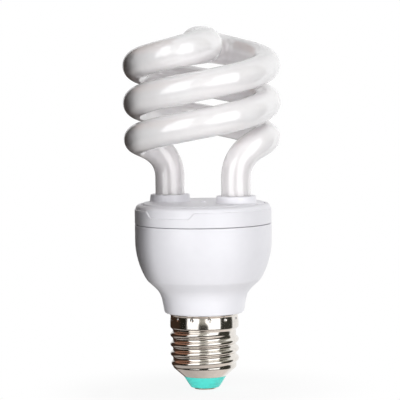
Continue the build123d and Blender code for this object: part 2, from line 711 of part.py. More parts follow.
with BuildPart() as tube_leads:
    seal_z = plate_z - LEG_DROP - SEAL_DROP
    wrap_z = seal_z - 0.8
    wrap_r = PIN_R + TUBE_LEAD_R
    for half in (0, 180):
        for side in (-1, 1):
            leg = polar(leg_r, LEG_ANGLE + half, seal_z)
            start = leg + polar(0.25 * TUBE_D, LEG_ANGLE + half + 90 * side, 0)
            turn = Vector(start.X, start.Y, wrap_z)
            pin = polar(pin_r, LEG_ANGLE + half + side * PIN_SPREAD, wrap_z)
            run = (pin - turn).normalized()
            touch = pin + Vector(-run.Y, run.X, 0) * wrap_r
            with BuildLine() as lead_path:
                FilletPolyline(start, turn, touch, radius=0.4)
            with BuildSketch(Plane(start, z_dir=(0, 0, -1))):
                Circle(TUBE_LEAD_R)
            sweep(path=lead_path.wires()[0])
            with Locations(pin):
                Cylinder(PIN_R + 2 * TUBE_LEAD_R, 6 * TUBE_LEAD_R)
                Cylinder(PIN_R, 6 * TUBE_LEAD_R, mode=Mode.SUBTRACT)

lead_holes = (
    bent_holes(diode_places, DIODE_PITCH)
    + bent_holes(resistor_places, RESISTOR_PITCH)
    + bent_holes(trigger_places, TRIGGER_PITCH)
    + bulk_holes
    + resonant_holes
    + coupling_holes
    + disc_holes
    + thermistor_holes
    + transistor_holes
    + choke_holes
    + drum_holes
    + [(live_x, live_y), (neutral_x, neutral_y)]
)
with BuildPart() as circuit_board:
    with Locations((0, 0, board_z)):
        Cylinder(board_r, BOARD_T, align=UP)
    with Locations(*[(x, y, board_z) for x, y in lead_holes]):
        Cylinder(LEAD_R, BOARD_T, align=UP, mode=Mode.SUBTRACT)
    with Locations(*pin_places):
        Cylinder(PIN_R, BOARD_T, align=UP, mode=Mode.SUBTRACT)

with BuildPart() as solder_joints:
    with Locations(*[(x, y, board_top) for x, y in lead_holes]):
        Cone(LEAD_R + 0.5, LEAD_R + 0.1, 0.8, align=UP)
        Cylinder(LEAD_R, 0.8, align=UP, mode=Mode.SUBTRACT)

pieces = {
    "glass_tube": glass_tube,
    "top_cover": top_cover,
    "base_housing": base_housing,
    "screw_shell": screw_shell,
    "cap_insulator": cap_insulator,
    "centre_contact": centre_contact,
    "leg_cement": leg_cement,
    "circuit_board": circuit_board,
    "solder_joints": solder_joints,
    "wrap_pins": wrap_pins,
    "tube_leads": tube_leads,
    "rectifier_diodes": rectifier_diodes,
    "resistors": resistors,
    "trigger_diode": trigger_diode,
    "bulk_capacitor": bulk_capacitor,
    "resonant_capacitor": resonant_capacitor,
    "coupling_capacitor": coupling_capacitor,
    "start_capacitor": start_capacitor,
    "thermistor": thermistor,
    "switch_transistors": switch_transistors,
    "toroid_core": toroid_core,
    "toroid_winding": toroid_winding,
    "choke_core": choke_core,
    "choke_bobbin": choke_bobbin,
    "choke_winding": choke_winding,
    "filter_core": filter_core,
    "filter_winding": filter_winding,
    "fuse_resistor": fuse_resistor,
    "live_wire": live_wire,
    "neutral_wire": neutral_wire,
}
for name, piece in pieces.items():
    piece.part.label = name
    export_step(piece.part, f"parts/{name}.step")
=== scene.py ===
"""Looks of a spiral energy-saving lamp: its glass, plastic and metal, and the studio round it.

The file is laid out as an add-on. Each operator makes one piece, or one group of like pieces.
Lengths are in metres, and the lamp's axis is Z with the centre contact's underside at zero.
"""

import json

import bpy
import numpy as np
from bpy.props import FloatProperty, FloatVectorProperty, IntProperty, PointerProperty
from mathutils import Matrix, Vector


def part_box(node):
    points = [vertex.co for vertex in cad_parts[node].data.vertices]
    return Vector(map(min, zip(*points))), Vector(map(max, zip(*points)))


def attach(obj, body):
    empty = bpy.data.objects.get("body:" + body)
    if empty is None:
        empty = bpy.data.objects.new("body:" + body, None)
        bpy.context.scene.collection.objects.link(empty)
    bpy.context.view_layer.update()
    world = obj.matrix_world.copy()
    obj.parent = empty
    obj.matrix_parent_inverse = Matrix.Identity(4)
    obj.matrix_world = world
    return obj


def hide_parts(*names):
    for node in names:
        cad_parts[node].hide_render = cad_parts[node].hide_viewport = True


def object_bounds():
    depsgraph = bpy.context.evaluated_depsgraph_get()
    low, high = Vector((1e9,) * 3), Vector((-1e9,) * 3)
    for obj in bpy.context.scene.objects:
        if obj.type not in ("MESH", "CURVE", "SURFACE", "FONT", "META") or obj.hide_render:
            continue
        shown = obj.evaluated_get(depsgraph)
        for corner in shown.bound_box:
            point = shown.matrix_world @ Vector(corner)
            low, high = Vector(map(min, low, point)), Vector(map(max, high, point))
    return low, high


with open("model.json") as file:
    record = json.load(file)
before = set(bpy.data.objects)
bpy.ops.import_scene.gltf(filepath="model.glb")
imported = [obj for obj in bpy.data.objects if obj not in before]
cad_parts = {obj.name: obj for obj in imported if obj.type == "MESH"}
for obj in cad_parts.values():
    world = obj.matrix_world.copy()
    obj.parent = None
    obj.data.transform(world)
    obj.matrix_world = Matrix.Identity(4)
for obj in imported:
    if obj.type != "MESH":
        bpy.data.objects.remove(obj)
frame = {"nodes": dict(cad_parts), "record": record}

bl_info = {
    "name": "Spiral Lamp",
    "version": (1, 0, 0),
    "blender": (4, 5, 0),
    "location": "View3D > Sidebar > Lamp",
    "description": "Makes the glass, plastic and metal of a spiral energy-saving lamp",
    "category": "Object",
}

CAD_BOX = [list(corner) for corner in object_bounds()]
BODY_LOW, BODY_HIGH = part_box("base_housing")
COVER_LOW, COVER_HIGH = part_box("top_cover")
CAP_LOW, CAP_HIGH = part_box("screw_shell")
PLUG_LOW, PLUG_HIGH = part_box("cap_insulator")
TUBE_LOW, TUBE_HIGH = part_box("glass_tube")
MM = 0.001
TURN = 2 * np.pi
NO_CORNER = -1  # fourth corner of a face that is a triangle


def length(name, description, default):
    """Length property in metres."""
    return FloatProperty(
        name=name, description=description, default=default, min=0, precision=5, unit="LENGTH"
    )


def angle(name, description, default):
    """Angle property whose default is given in degrees."""
    return FloatProperty(
        name=name, description=description, default=np.radians(default), unit="ROTATION"
    )


def colour(name, description, default):
    """Linear colour property."""
    return FloatVectorProperty(
        name=name, description=description, default=default, min=0, max=1, subtype="COLOR"
    )


def power(name, description, default):
    """Power property of a light, in watts."""
    return FloatProperty(name=name, description=description, default=default, min=0, unit="POWER")


def brightness(name, description, default):
    """Brightness property, where 1 is white."""
    return FloatProperty(name=name, description=description, default=default, min=0)


class LampTubeSettings(bpy.types.PropertyGroup):
    """Sizes and colour of the wound glass tube."""

    tube_d: length("Tube", "Diameter of the tube", 11.2 * MM)
    apex_d: length("Apex", "Diameter of the tube where it crosses the axis", 14 * MM)
    coil_d: length("Coil", "Diameter of the coil at the middle of the tube", 48.79 * MM)
    lead: length("Lead", "Rise of one strand in one turn", 28.3 * MM)
    coil_z: length("Coil height", "Height at which the coil would pass the X axis", 95.5 * MM)
    coil_start: angle("Coil start", "Angle at which a strand's coil begins", 13)
    coil_end: angle("Coil end", "Angle at which a strand's coil ends", 408)
    leg_spacing: length("Leg spacing", "Distance between the two legs", 28.8 * MM)
    leg_angle: angle("Leg angle", "Angle of the first leg round the axis", -29)
    leg_top: length("Leg top", "Height at which a leg begins to bend", 81 * MM)
    apex_angle: angle("Apex angle", "Direction in which the tube crosses the axis", -66)
    seal: length("Seal", "Length of the pinched end of a leg", 3.6 * MM)
    white: colour("Coat", "Colour of the powder coat behind the glass", (0.94, 0.915, 0.925))


class LampPlasticSettings(bpy.types.PropertyGroup):
    """Sizes and colours of the moulded pieces."""

    wall: length("Wall", "Thickness of the housing's wall", 1.8 * MM)
    belly_z: length("Belly", "Height at which the belly's curve begins", 57.6 * MM)
    belly_radius: length("Belly radius", "Radius of the belly's curve", 30 * MM)
    belly_low: length("Belly foot", "Height at which the belly's curve ends", 42 * MM)
    throat_d: length("Throat", "Diameter where belly and neck meet", 33.1 * MM)
    throat_z: length("Throat height", "Height where belly and neck meet", 37.3 * MM)
    throat_round: length("Throat round", "Radius of the curve between belly and neck", 9 * MM)
    neck_d: length("Neck", "Diameter of the neck's lower end", 30.2 * MM)
    seam: length("Seam", "Gap at the seam, and rounding of its two edges", 0.25 * MM)
    deck_d: length("Deck", "Diameter of the raised deck", 46 * MM)
    deck_z: length("Deck height", "Height of the raised deck", 71.6 * MM)
    edge_z: length("Edge height", "Height of the ring round the deck", 71.1 * MM)
    edge_round: length("Edge round", "Radius of the cover's shoulder", 1.7 * MM)
    step_z: length("Step height", "Height of the small step round the cover", 69.3 * MM)
    step: length("Step", "Depth of the small step round the cover", 0.35 * MM)
    grip_z: length("Grip height", "Height to which the step drops at a grip", 66.9 * MM)
    grip_width: length("Grip width", "Width of a finger grip", 19.5 * MM)
    grip_angle: angle("Grip angle", "Angle of the first finger grip round the axis", -121)
    collar_d: length("Collar", "Diameter of a leg's collar", 14.9 * MM)
    collar_height: length("Collar height", "Height of a leg's collar over the deck", 2.8 * MM)
    white: colour("White", "Colour of the moulded plastic", (0.86, 0.855, 0.895))
    turquoise: colour("Turquoise", "Colour of the cap's insulator", (0.13, 1.0, 0.89))


class LampCapSettings(bpy.types.PropertyGroup):
    """Sizes and colour of the screw cap."""

    crest_d: length("Crest", "Diameter of the thread's crest", 26.2 * MM)
    depth: length("Depth", "Depth of the thread", 1.0 * MM)
    pitch: length("Pitch", "Rise of the thread in one turn", 25.4 / 7 * MM)
    thread_angle: angle("Thread start", "Angle at which the thread begins", 160)
    cone_top: length("Cone top", "Height of the cone's upper end", 8.4 * MM)
    skirt_z: length("Skirt", "Height at which the plain skirt begins", 23.9 * MM)
    mouth_d: length("Mouth", "Diameter of the cap's lower opening", 16.4 * MM)
    sheet: length("Sheet", "Thickness of the cap's metal", 0.4 * MM)
    punch_count: IntProperty(
        name="Punch marks", description="Number of punch marks", default=12, min=1
    )
    punch_d: length("Punch mark", "Diameter of a punch mark", 1.5 * MM)
    punch_drop: length("Punch drop", "Distance of the marks below the cap's upper end", 1.9 * MM)
    punch_angle: angle("Punch angle", "Angle of the first punch mark", -82)
    nickel: colour("Nickel", "Colour of the plated metal", (0.83, 0.79, 0.74))


class LampStageSettings(bpy.types.PropertyGroup):
    """Light, surroundings and camera."""

    key_power: power("Key", "Power of the key light", 11.8)
    rear_power: power("Rear", "Power of the rear light", 3.5)
    back_power: power("Back", "Power of the back light", 5)
    low_power: power("Low", "Power of the low light", 3.7)
    high_power: power("High", "Power of the high light", 2.7)
    softbox: brightness("Softboxes", "Brightness of the two softboxes", 1.7)
    fill: brightness("Fill", "Brightness of the white room for soft light", 0.9)
    distance: length("Camera distance", "Distance of the camera from the lamp's middle", 0.95)
    elevation: angle("Camera elevation", "Angle of the camera above the lamp's middle", 4.2)
    roll: angle("Camera roll", "Turn of the picture", 0.73)


def ease(value):
    """Smooth step from 0 to 1 as the value goes from 0 to 1: 3t² - 2t³, flat outside."""
    t = np.clip(value, 0, 1)
    return t * t * (3 - 2 * t)


def unit(vectors):
    """Vectors divided by their lengths."""
    return vectors / np.linalg.norm(vectors, axis=-1, keepdims=True)


def circle(count):
    """Angles that divide a whole turn evenly."""
    return np.linspace(0, TURN, count, endpoint=False)


def rounded(corners, steps=6):
    """Outline through corners (x, z, radius), each rounded by the arc that touches both its sides.

    The arc's centre lies on the corner's bisector, and its points turn evenly from one side to
    the other. The first and last corners stay sharp.
    """
    table = np.array(corners, float)
    points, radii = table[:, :2], table[1:-1, 2:]
    inner = points[1:-1]
    back = unit(points[:-2] - inner)
    ahead = unit(points[2:] - inner)
    half = np.arccos(np.clip((back * ahead).sum(1, keepdims=True), -1, 1)) / 2
    middle = inner + unit(back + ahead) * radii / np.sin(half)
    first = inner + back * radii / np.tan(half) - middle
    last = inner + ahead * radii / np.tan(half) - middle
    sweep = (np.pi - 2 * half)[:, None]
    share = np.linspace(0, 1, steps)[None, :, None]
    start = np.sin((1 - share) * sweep) * first[:, None]
    end = np.sin(share * sweep) * last[:, None]
    arc = (start + end) / np.sin(sweep) + middle[:, None]
    return np.vstack([points[:1], arc.reshape(-1, 2), points[-1:]])


def turned(radius, height, around):
    """Points (r cos a, r sin a, z), in rows of radius and height and columns of angle."""
    return np.stack(
        np.broadcast_arrays(radius * np.cos(around), radius * np.sin(around), height), axis=-1
    )


def spun(outline, around):
    """Surface of revolution of an outline of points (r, z)."""
    return turned(outline[:, :1], outline[:, 1:], around)


def skin(grid, loop=False, poles=False):
    """Vertices and faces of a grid of points whose columns join round.

    With loop the last row joins the first, and with poles each end row closes in a fan to its own
    middle. The faces are turned round if the volume that they enclose comes out negative.
    """
    rows, columns = grid.shape[:2]
    vertices = grid.reshape(-1, 3)
    index = np.arange(rows * columns).reshape(rows, columns)
    if loop:
        index = np.vstack([index, index[:1]])
    ahead = np.roll(index, -1, axis=1)
    faces = np.stack([index[:-1], index[1:], ahead[1:], ahead[:-1]], axis=-1).reshape(-1, 4)
    if poles:
        pole = np.full(columns, len(vertices))
        none = np.full(columns, NO_CORNER)
        vertices = np.vstack([vertices, grid[0].mean(0), grid[-1].mean(0)])
        low = np.stack([index[0], ahead[0], pole, none], axis=-1)
        high = np.stack([ahead[-1], index[-1], pole + 1, none], axis=-1)
        faces = np.vstack([faces, low, high])
    triangle = faces[:, 3] == NO_CORNER
    a, b, c = (vertices[faces[:, corner]] for corner in range(3))
    d = vertices[np.where(triangle, faces[:, 0], faces[:, 3])]
    volume = (np.cross(a, b) * c).sum() + (np.cross(a, c) * d).sum()
    if volume < 0:
        faces = np.where(triangle[:, None], faces[:, [2, 1, 0, 3]], faces[:, ::-1])
    return vertices, faces


def piece(name, skins, material, slot, *nodes):
    """Object made of closed skins, which rides on the lamp and stands for the named nodes."""
    starts = np.cumsum([0] + [len(points) for points, corners in skins])
    vertices = np.vstack([points for points, corners in skins])
    faces = np.vstack(
        [
            np.where(corners == NO_CORNER, NO_CORNER, corners + start)
            for (points, corners), start in zip(skins, starts)
        ]
    )
    used = faces != NO_CORNER
    sizes = used.sum(1)
    mesh = bpy.data.meshes.new(name)
    mesh.vertices.add(len(vertices))
    mesh.vertices.foreach_set("co", vertices.astype(np.float32).ravel())
    mesh.loops.add(int(sizes.sum()))
    mesh.loops.foreach_set("vertex_index", faces[used].astype(np.int32))
    mesh.polygons.add(len(faces))
    loop_starts = np.concatenate([[0], np.cumsum(sizes)[:-1]])
    mesh.polygons.foreach_set("loop_start", loop_starts.astype(np.int32))
    mesh.polygons.foreach_set("use_smooth", np.ones(len(faces), bool))
    mesh.update(calc_edges=True)
    if mesh.validate():
        raise RuntimeError(f"the mesh of {name} is not sound")
    made = bpy.data.objects.new(name, mesh)
    bpy.context.scene.collection.objects.link(made)
    mesh.materials.append(material)
    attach(made, "root")
    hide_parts(*nodes)


def set_values(node, values):
    """Set a node's inputs, or else its properties, by name, with underscores for spaces."""
    for key, value in values.items():
        name = key.replace("_", " ")
        if name in node.inputs:
            node.inputs[name].default_value = value
        else:
            setattr(node, key, value)


def add_node(tree, kind, **values):
    """Node of a tree with its values set by name."""
    node = tree.nodes.new(kind)
    set_values(node, values)
    return node


def join(tree, *links):
    """Link nodes of a tree, each link given as a node, its output, the next node and its input."""
    for source, output, target, entry in links:
        tree.links.new(source.outputs[output], target.inputs[entry])


def new_group(name, inputs, outputs):
    """Shader node group with sockets by name and kind, and its nodes for what goes in and out."""
    tree = bpy.data.node_groups.new(name, "ShaderNodeTree")
    for way, sockets in (("INPUT", inputs), ("OUTPUT", outputs)):
        for socket, kind in sockets.items():
            tree.interface.new_socket(socket, in_out=way, socket_type=f"NodeSocket{kind}")
    return tree, tree.nodes.new("NodeGroupInput"), tree.nodes.new("NodeGroupOutput")


def mottle_group():
    """Group that clouds a colour and a roughness.

    Two sizes of noise are added, and their sum mixes the two colours and the two roughnesses.
    """
    if "Mottle" in bpy.data.node_groups:
        return bpy.data.node_groups["Mottle"]
    tree, start, end = new_group(
        "Mottle",
        {"Light": "Color", "Shade": "Color", "Scale": "Float", "Smooth": "Float", "Rough": "Float"},
        {"Color": "Color", "Roughness": "Float"},
    )
    fineness = 7.0
    place = tree.nodes.new("ShaderNodeTexCoord")
    clouds = add_node(tree, "ShaderNodeTexNoise", Detail=3.0, Roughness=0.55)
    fine = add_node(tree, "ShaderNodeTexNoise", Detail=2.0, Roughness=0.5)
    finer = add_node(tree, "ShaderNodeMath", operation="MULTIPLY")
    finer.inputs[1].default_value = fineness
    both = add_node(tree, "ShaderNodeMath", operation="ADD")
    spread = add_node(tree, "ShaderNodeMapRange", From_Min=0.75, From_Max=1.25)
    mix = add_node(tree, "ShaderNodeMix", data_type="RGBA")
    rough = tree.nodes.new("ShaderNodeMapRange")
    join(
        tree,
        (place, "Object", clouds, "Vector"),
        (place, "Object", fine, "Vector"),
        (start, "Scale", clouds, "Scale"),
        (start, "Scale", finer, 0),
        (finer, 0, fine, "Scale"),
        (clouds, "Fac", both, 0),
        (fine, "Fac", both, 1),
        (both, 0, spread, "Value"),
        (spread, "Result", mix, "Factor"),
        (start, "Light", mix, "A"),
        (start, "Shade", mix, "B"),
        (mix, "Result", end, "Color"),
        (spread, "Result", rough, "Value"),
        (start, "Smooth", rough, "To Min"),
        (start, "Rough", rough, "To Max"),
        (rough, "Result", end, "Roughness"),
    )
    return tree


def grain_group():
    """Group that gives a fine surface height: one noise of the given scale."""
    if "Grain" in bpy.data.node_groups:
        return bpy.data.node_groups["Grain"]
    tree, start, end = new_group("Grain", {"Scale": "Float"}, {"Height": "Float"})
    place = tree.nodes.new("ShaderNodeTexCoord")
    noise = add_node(tree, "ShaderNodeTexNoise", Detail=3.0, Roughness=0.6)
    join(
        tree,
        (place, "Object", noise, "Vector"),
        (start, "Scale", noise, "Scale"),
        (noise, "Fac", end, "Height"),
    )
    return tree


def finish_of(name, light, shade, scale, smooth, rough, grain, depth, **values):
    """Material with a clouded colour and roughness from Mottle and a fine bump from Grain.

    Scale and grain are the clouds' and the bump's noise scales, smooth and rough the ends of the
    roughness, and depth the bump's height in metres. The other values are set on the shader's own
    sockets, named with underscores for spaces.
    """
    if name in bpy.data.materials:
        return bpy.data.materials[name]
    material = bpy.data.materials.new(name)
    material.use_nodes = True
    tree = material.node_tree
    shader = tree.nodes["Principled BSDF"]
    set_values(shader, values)
    mottle = add_node(
        tree,
        "ShaderNodeGroup",
        node_tree=mottle_group(),
        Light=(*light, 1),
        Shade=(*shade, 1),
        Scale=scale,
        Smooth=smooth,
        Rough=rough,
    )
    grains = add_node(tree, "ShaderNodeGroup", node_tree=grain_group(), Scale=grain)
    bump = add_node(tree, "ShaderNodeBump", Strength=1.0, Distance=depth)
    join(
        tree,
        (mottle, "Color", shader, "Base Color"),
        (mottle, "Roughness", shader, "Roughness"),
        (grains, "Height", bump, "Height"),
        (bump, "Normal", shader, "Normal"),
    )
    return material


def shaded(base, share):
    """Colour made darker by a share."""
    return tuple(channel * (1 - share) for channel in base)


# Points along the parts of the tube's path, and round the tube
LEG_ROWS, BEND_ROWS, COIL_ROWS, APEX_ROWS = 20, 45, 180, 90
TUBE_COLUMNS = 64
# Handles of the two curves that join leg, coil and apex, in shares of the coil's radius
LEG_PULL, COIL_LOW_PULL, COIL_HIGH_PULL, APEX_PULL = 0.53, 0.48, 0.57, 0.51
# Height at which a pinch ends, in lengths of the seal, and the shares by which it narrows the tube
PINCH_END, PINCH_THIN, PINCH_WIDE = 1.6, 0.74, 0.28


def cubic(a, b, c, d, t):
    """Points of a Bezier curve at shares t of its run, and directions along it."""
    t = t[:, None]
    line = (1 - t) ** 3 * a + 3 * (1 - t) ** 2 * t * b + 3 * (1 - t) * t**2 * c + t**3 * d
    slope = (1 - t) ** 2 * (b - a) + 2 * (1 - t) * t * (c - b) + t**2 * (d - c)
    return line, slope


def tube_path(sizes):
    """Middle line, heading, side direction and radius of the whole tube, from seal to seal.

    One half runs up a leg, along a cubic curve into a right-handed helix, and along a second cubic
    curve to the apex on the axis. The other half is that half turned by half a turn and run
    backwards.
    """
    coil_r, leg_r, tube_r = sizes.coil_d / 2, sizes.leg_spacing / 2, sizes.tube_d / 2
    rise = sizes.lead / TURN

    def helix(turn):
        x, y = coil_r * np.cos(turn), coil_r * np.sin(turn)
        line = np.stack([x, y, sizes.coil_z + rise * turn], axis=-1)
        return line, unit(np.stack([-y, x, np.full_like(turn, rise)], axis=-1))

    up = np.array([0, 0, 1.0])
    leg_x, leg_y = leg_r * np.cos(sizes.leg_angle), leg_r * np.sin(sizes.leg_angle)
    foot = np.array([leg_x, leg_y, TUBE_LOW[2]])
    leg = np.array([leg_x, leg_y, sizes.leg_top])
    coil_low, low_way = helix(sizes.coil_start)
    coil_high, high_way = helix(sizes.coil_end)
    apex = np.array([0, 0, TUBE_HIGH[2] - sizes.apex_d / 2])
    across = np.array([np.cos(sizes.apex_angle), np.sin(sizes.apex_angle), 0])

    leg_line = foot + (leg - foot) * np.linspace(0, 1, LEG_ROWS, endpoint=False)[:, None]
    bend, bend_slope = cubic(
        leg,
        leg + up * LEG_PULL * coil_r,
        coil_low - low_way * COIL_LOW_PULL * coil_r,
        coil_low,
        np.linspace(0, 1, BEND_ROWS, endpoint=False),
    )
    coil, coil_slope = helix(
        np.linspace(sizes.coil_start, sizes.coil_end, COIL_ROWS, endpoint=False)
    )
    climb = np.linspace(0, 1, APEX_ROWS)
    over, over_slope = cubic(
        coil_high,
        coil_high + high_way * COIL_HIGH_PULL * coil_r,
        apex - across * APEX_PULL * coil_r,
        apex,
        climb,
    )
    leg_slope = np.broadcast_to(up, leg_line.shape)
    line = np.vstack([leg_line, bend, coil, over])
    slope = unit(np.vstack([leg_slope, bend_slope, coil_slope, over_slope]))
    below = LEG_ROWS + BEND_ROWS
    side = np.vstack([(line * (1, 1, 0))[:below], np.cross(slope[below:], up)])
    side = unit(side - (side * slope).sum(1, keepdims=True) * slope)
    swell = np.concatenate([np.zeros(below + COIL_ROWS), ease(climb)])
    radius = tube_r + (sizes.apex_d / 2 - tube_r) * swell
    half_turn = np.array([-1, -1, 1])
    return (
        np.vstack([line, line[-2::-1] * half_turn]),
        np.vstack([slope, -slope[-2::-1] * half_turn]),
        np.vstack([side, -side[-2::-1] * half_turn]),
        np.concatenate([radius, radius[-2::-1]]),
    )


def grey_legs(material, grey, low, high):
    """Grey the glass's legs below the coil: the colour turns from grey to the coat's own between
    two heights.
    """
    tree = material.node_tree
    shader = tree.nodes["Principled BSDF"]
    coat = shader.inputs["Base Color"].links[0].from_socket
    place = tree.nodes.new("ShaderNodeTexCoord")
    split = tree.nodes.new("ShaderNodeSeparateXYZ")
    share = add_node(
        tree, "ShaderNodeMapRange", interpolation_type="SMOOTHSTEP", From_Min=low, From_Max=high
    )
    mix = add_node(tree, "ShaderNodeMix", data_type="RGBA", A=(*grey, 1))
    tree.links.new(coat, mix.inputs["B"])
    join(
        tree,
        (place, "Object", split, 0),
        (split, "Z", share, "Value"),
        (share, "Result", mix, "Factor"),
        (mix, "Result", shader, "Base Color"),
    )


class LAMP_OT_tube(bpy.types.Operator):
    """Make the wound glass tube"""

    bl_idname = "lamp.tube"
    bl_label = "Glass Tube"

    def execute(self, context):
        """Carry a ring along the tube's path; near each end the ring flattens to a pinch."""
        sizes = context.scene.lamp_tube
        line, slope, side, radius = tube_path(sizes)
        pinch = ease(PINCH_END - (line[:, 2] - TUBE_LOW[2]) / sizes.seal)
        thin = radius * (1 - PINCH_THIN * pinch)
        wide = radius * (1 - PINCH_WIDE * pinch)
        around = circle(TUBE_COLUMNS)[None, :, None]
        rings = (
            line[:, None]
            + thin[:, None, None] * np.cos(around) * side[:, None]
            + wide[:, None, None] * np.sin(around) * np.cross(slope, side)[:, None]
        )
        white = tuple(sizes.white)
        material = finish_of(
            "Milky Glass",
            white,
            shaded(white, 0.03),
            scale=60,
            smooth=0.42,
            rough=0.5,
            grain=900,
            depth=0.004 * MM,
            Coat_Weight=1.0,
            Coat_Roughness=0.02,
            Coat_IOR=2.1,
            Specular_IOR_Level=0.0,
            Subsurface_Weight=1.0,
            Subsurface_Radius=(1, 1, 1),
            Subsurface_Scale=6 * MM,
        )
        # Greys the legs below the coil, darker than the rest of the tube
        grey_legs(material, shaded(white, 0.12), sizes.leg_top, sizes.coil_z)
        piece("wound_tube", [skin(rings, poles=True)], material, "milky_glass", "glass_tube")
        return {"FINISHED"}


def white_plastic(context):
    """White moulded plastic with a soft gloss."""
    white = tuple(context.scene.lamp_plastic.white)
    return finish_of(
        "White Plastic",
        white,
        shaded(white, 0.02),
        scale=45,
        smooth=0.34,
        rough=0.4,
        grain=700,
        depth=0.001 * MM,
    )


# Rows of the belly's outside and inside, and columns of the housing
BELLY_ROWS, BELLY_INNER_ROWS, BODY_COLUMNS = 40, 24, 256
BELLY_FOOT_ROWS = 4  # rows of the belly's arc that give way to the rounding at its foot
SPIGOT_WALL = 1.5 * MM


class LAMP_OT_housing(bpy.types.Operator):
    """Make the cup-shaped housing"""

    bl_idname = "lamp.housing"
    bl_label = "Housing"

    def execute(self, context):
        """Spin the wall's outline: belly struck by an arc, neck, spigot in the cap, inner wall."""
        sizes = context.scene.lamp_plastic
        cap = context.scene.lamp_cap
        wall = sizes.wall
        body_r, top = BODY_HIGH[0], BODY_HIGH[2]
        rim_z = CAP_HIGH[2]
        skirt = cap.crest_d / 2 - cap.sheet
        spigot = skirt - cap.depth
        bore = spigot - SPIGOT_WALL

        def belly(radius, z):
            reach = np.sqrt(radius**2 - (sizes.belly_z - z) ** 2)
            return np.stack([body_r - sizes.belly_radius + reach, z], axis=-1)

        rise = np.linspace(sizes.belly_low, sizes.belly_z, BELLY_ROWS)
        outer_arc = belly(sizes.belly_radius, rise)
        drop = np.linspace(sizes.belly_z, sizes.belly_low + wall / 2, BELLY_INNER_ROWS)
        inner_arc = belly(sizes.belly_radius - wall, drop)
        low = rounded(
            [
                (bore, rim_z + wall, 0),
                (bore, BODY_LOW[2], 0.2 * MM),
                (spigot, BODY_LOW[2], 0.2 * MM),
                (spigot, cap.skirt_z - cap.depth, 0.2 * MM),
                (skirt, cap.skirt_z, 0.2 * MM),
                (skirt, rim_z, 0.1 * MM),
                (sizes.neck_d / 2, rim_z, 0.9 * MM),
                (sizes.throat_d / 2, sizes.throat_z, sizes.throat_round),
                (*outer_arc[0], 5 * MM),
                (*outer_arc[BELLY_FOOT_ROWS], 0),
            ],
            12,
        )
        high = rounded(
            [
                (*outer_arc[-1], 0),
                (body_r, top, sizes.seam),
                (body_r - wall, top, sizes.seam),
                (*inner_arc[0], 0),
            ]
        )
        inside = rounded(
            [
                (*inner_arc[-1], 0),
                (sizes.throat_d / 2 - wall, sizes.throat_z + wall / 2, 2 * MM),
                (sizes.neck_d / 2 - wall, rim_z + wall, 0.3 * MM),
                (bore, rim_z + wall, 0),
            ]
        )
        outline = np.vstack(
            [low[:-1], outer_arc[BELLY_FOOT_ROWS:], high[1:-1], inner_arc, inside[1:-1]]
        )
        cup = skin(spun(outline, circle(BODY_COLUMNS)), loop=True)
        piece("housing_cup", [cup], white_plastic(context), "white_plastic", "base_housing")
        return {"FINISHED"}


SIDE_ROWS = 110  # rows of the cover's side, in which the step round it lies
GRIP_COLUMNS, PLAIN_COLUMNS = 150, 52  # columns across a finger grip, and between the two grips
# Reach of the fine columns, start of the step's drop and its run, in half widths of a grip
GRIP_REACH, GRIP_START, GRIP_SLANT = 1.25, 1.12, 0.3
COLLAR_COLUMNS, GATE_COLUMNS = 128, 32
HUB = 0.4 * MM  # radius at which the cover's outline ends near the axis
LIP_WALL = 1.5 * MM
PLATE = 2 * MM
STEP_SLOPE = 0.28 * MM  # height over which the step round the cover falls
LEG_CLEARANCE = 0.15 * MM
COLLAR_DRAFT = 0.35 * MM
COLLAR_FOOT = 1.4 * MM  # width of the fillet at a collar's foot
COLLAR_SUNK = 1 * MM  # depth of a collar's lower end in the deck
# Mark of the mould's gate: radii of its foot and top, height over the deck and depth in it
GATE_R, GATE_TOP_R, GATE_HEIGHT, GATE_SUNK = 1.0 * MM, 0.6 * MM, 0.5 * MM, 0.3 * MM
NEAR_AXIS = 0.05 * MM  # radius at which a small outline ends near the axis


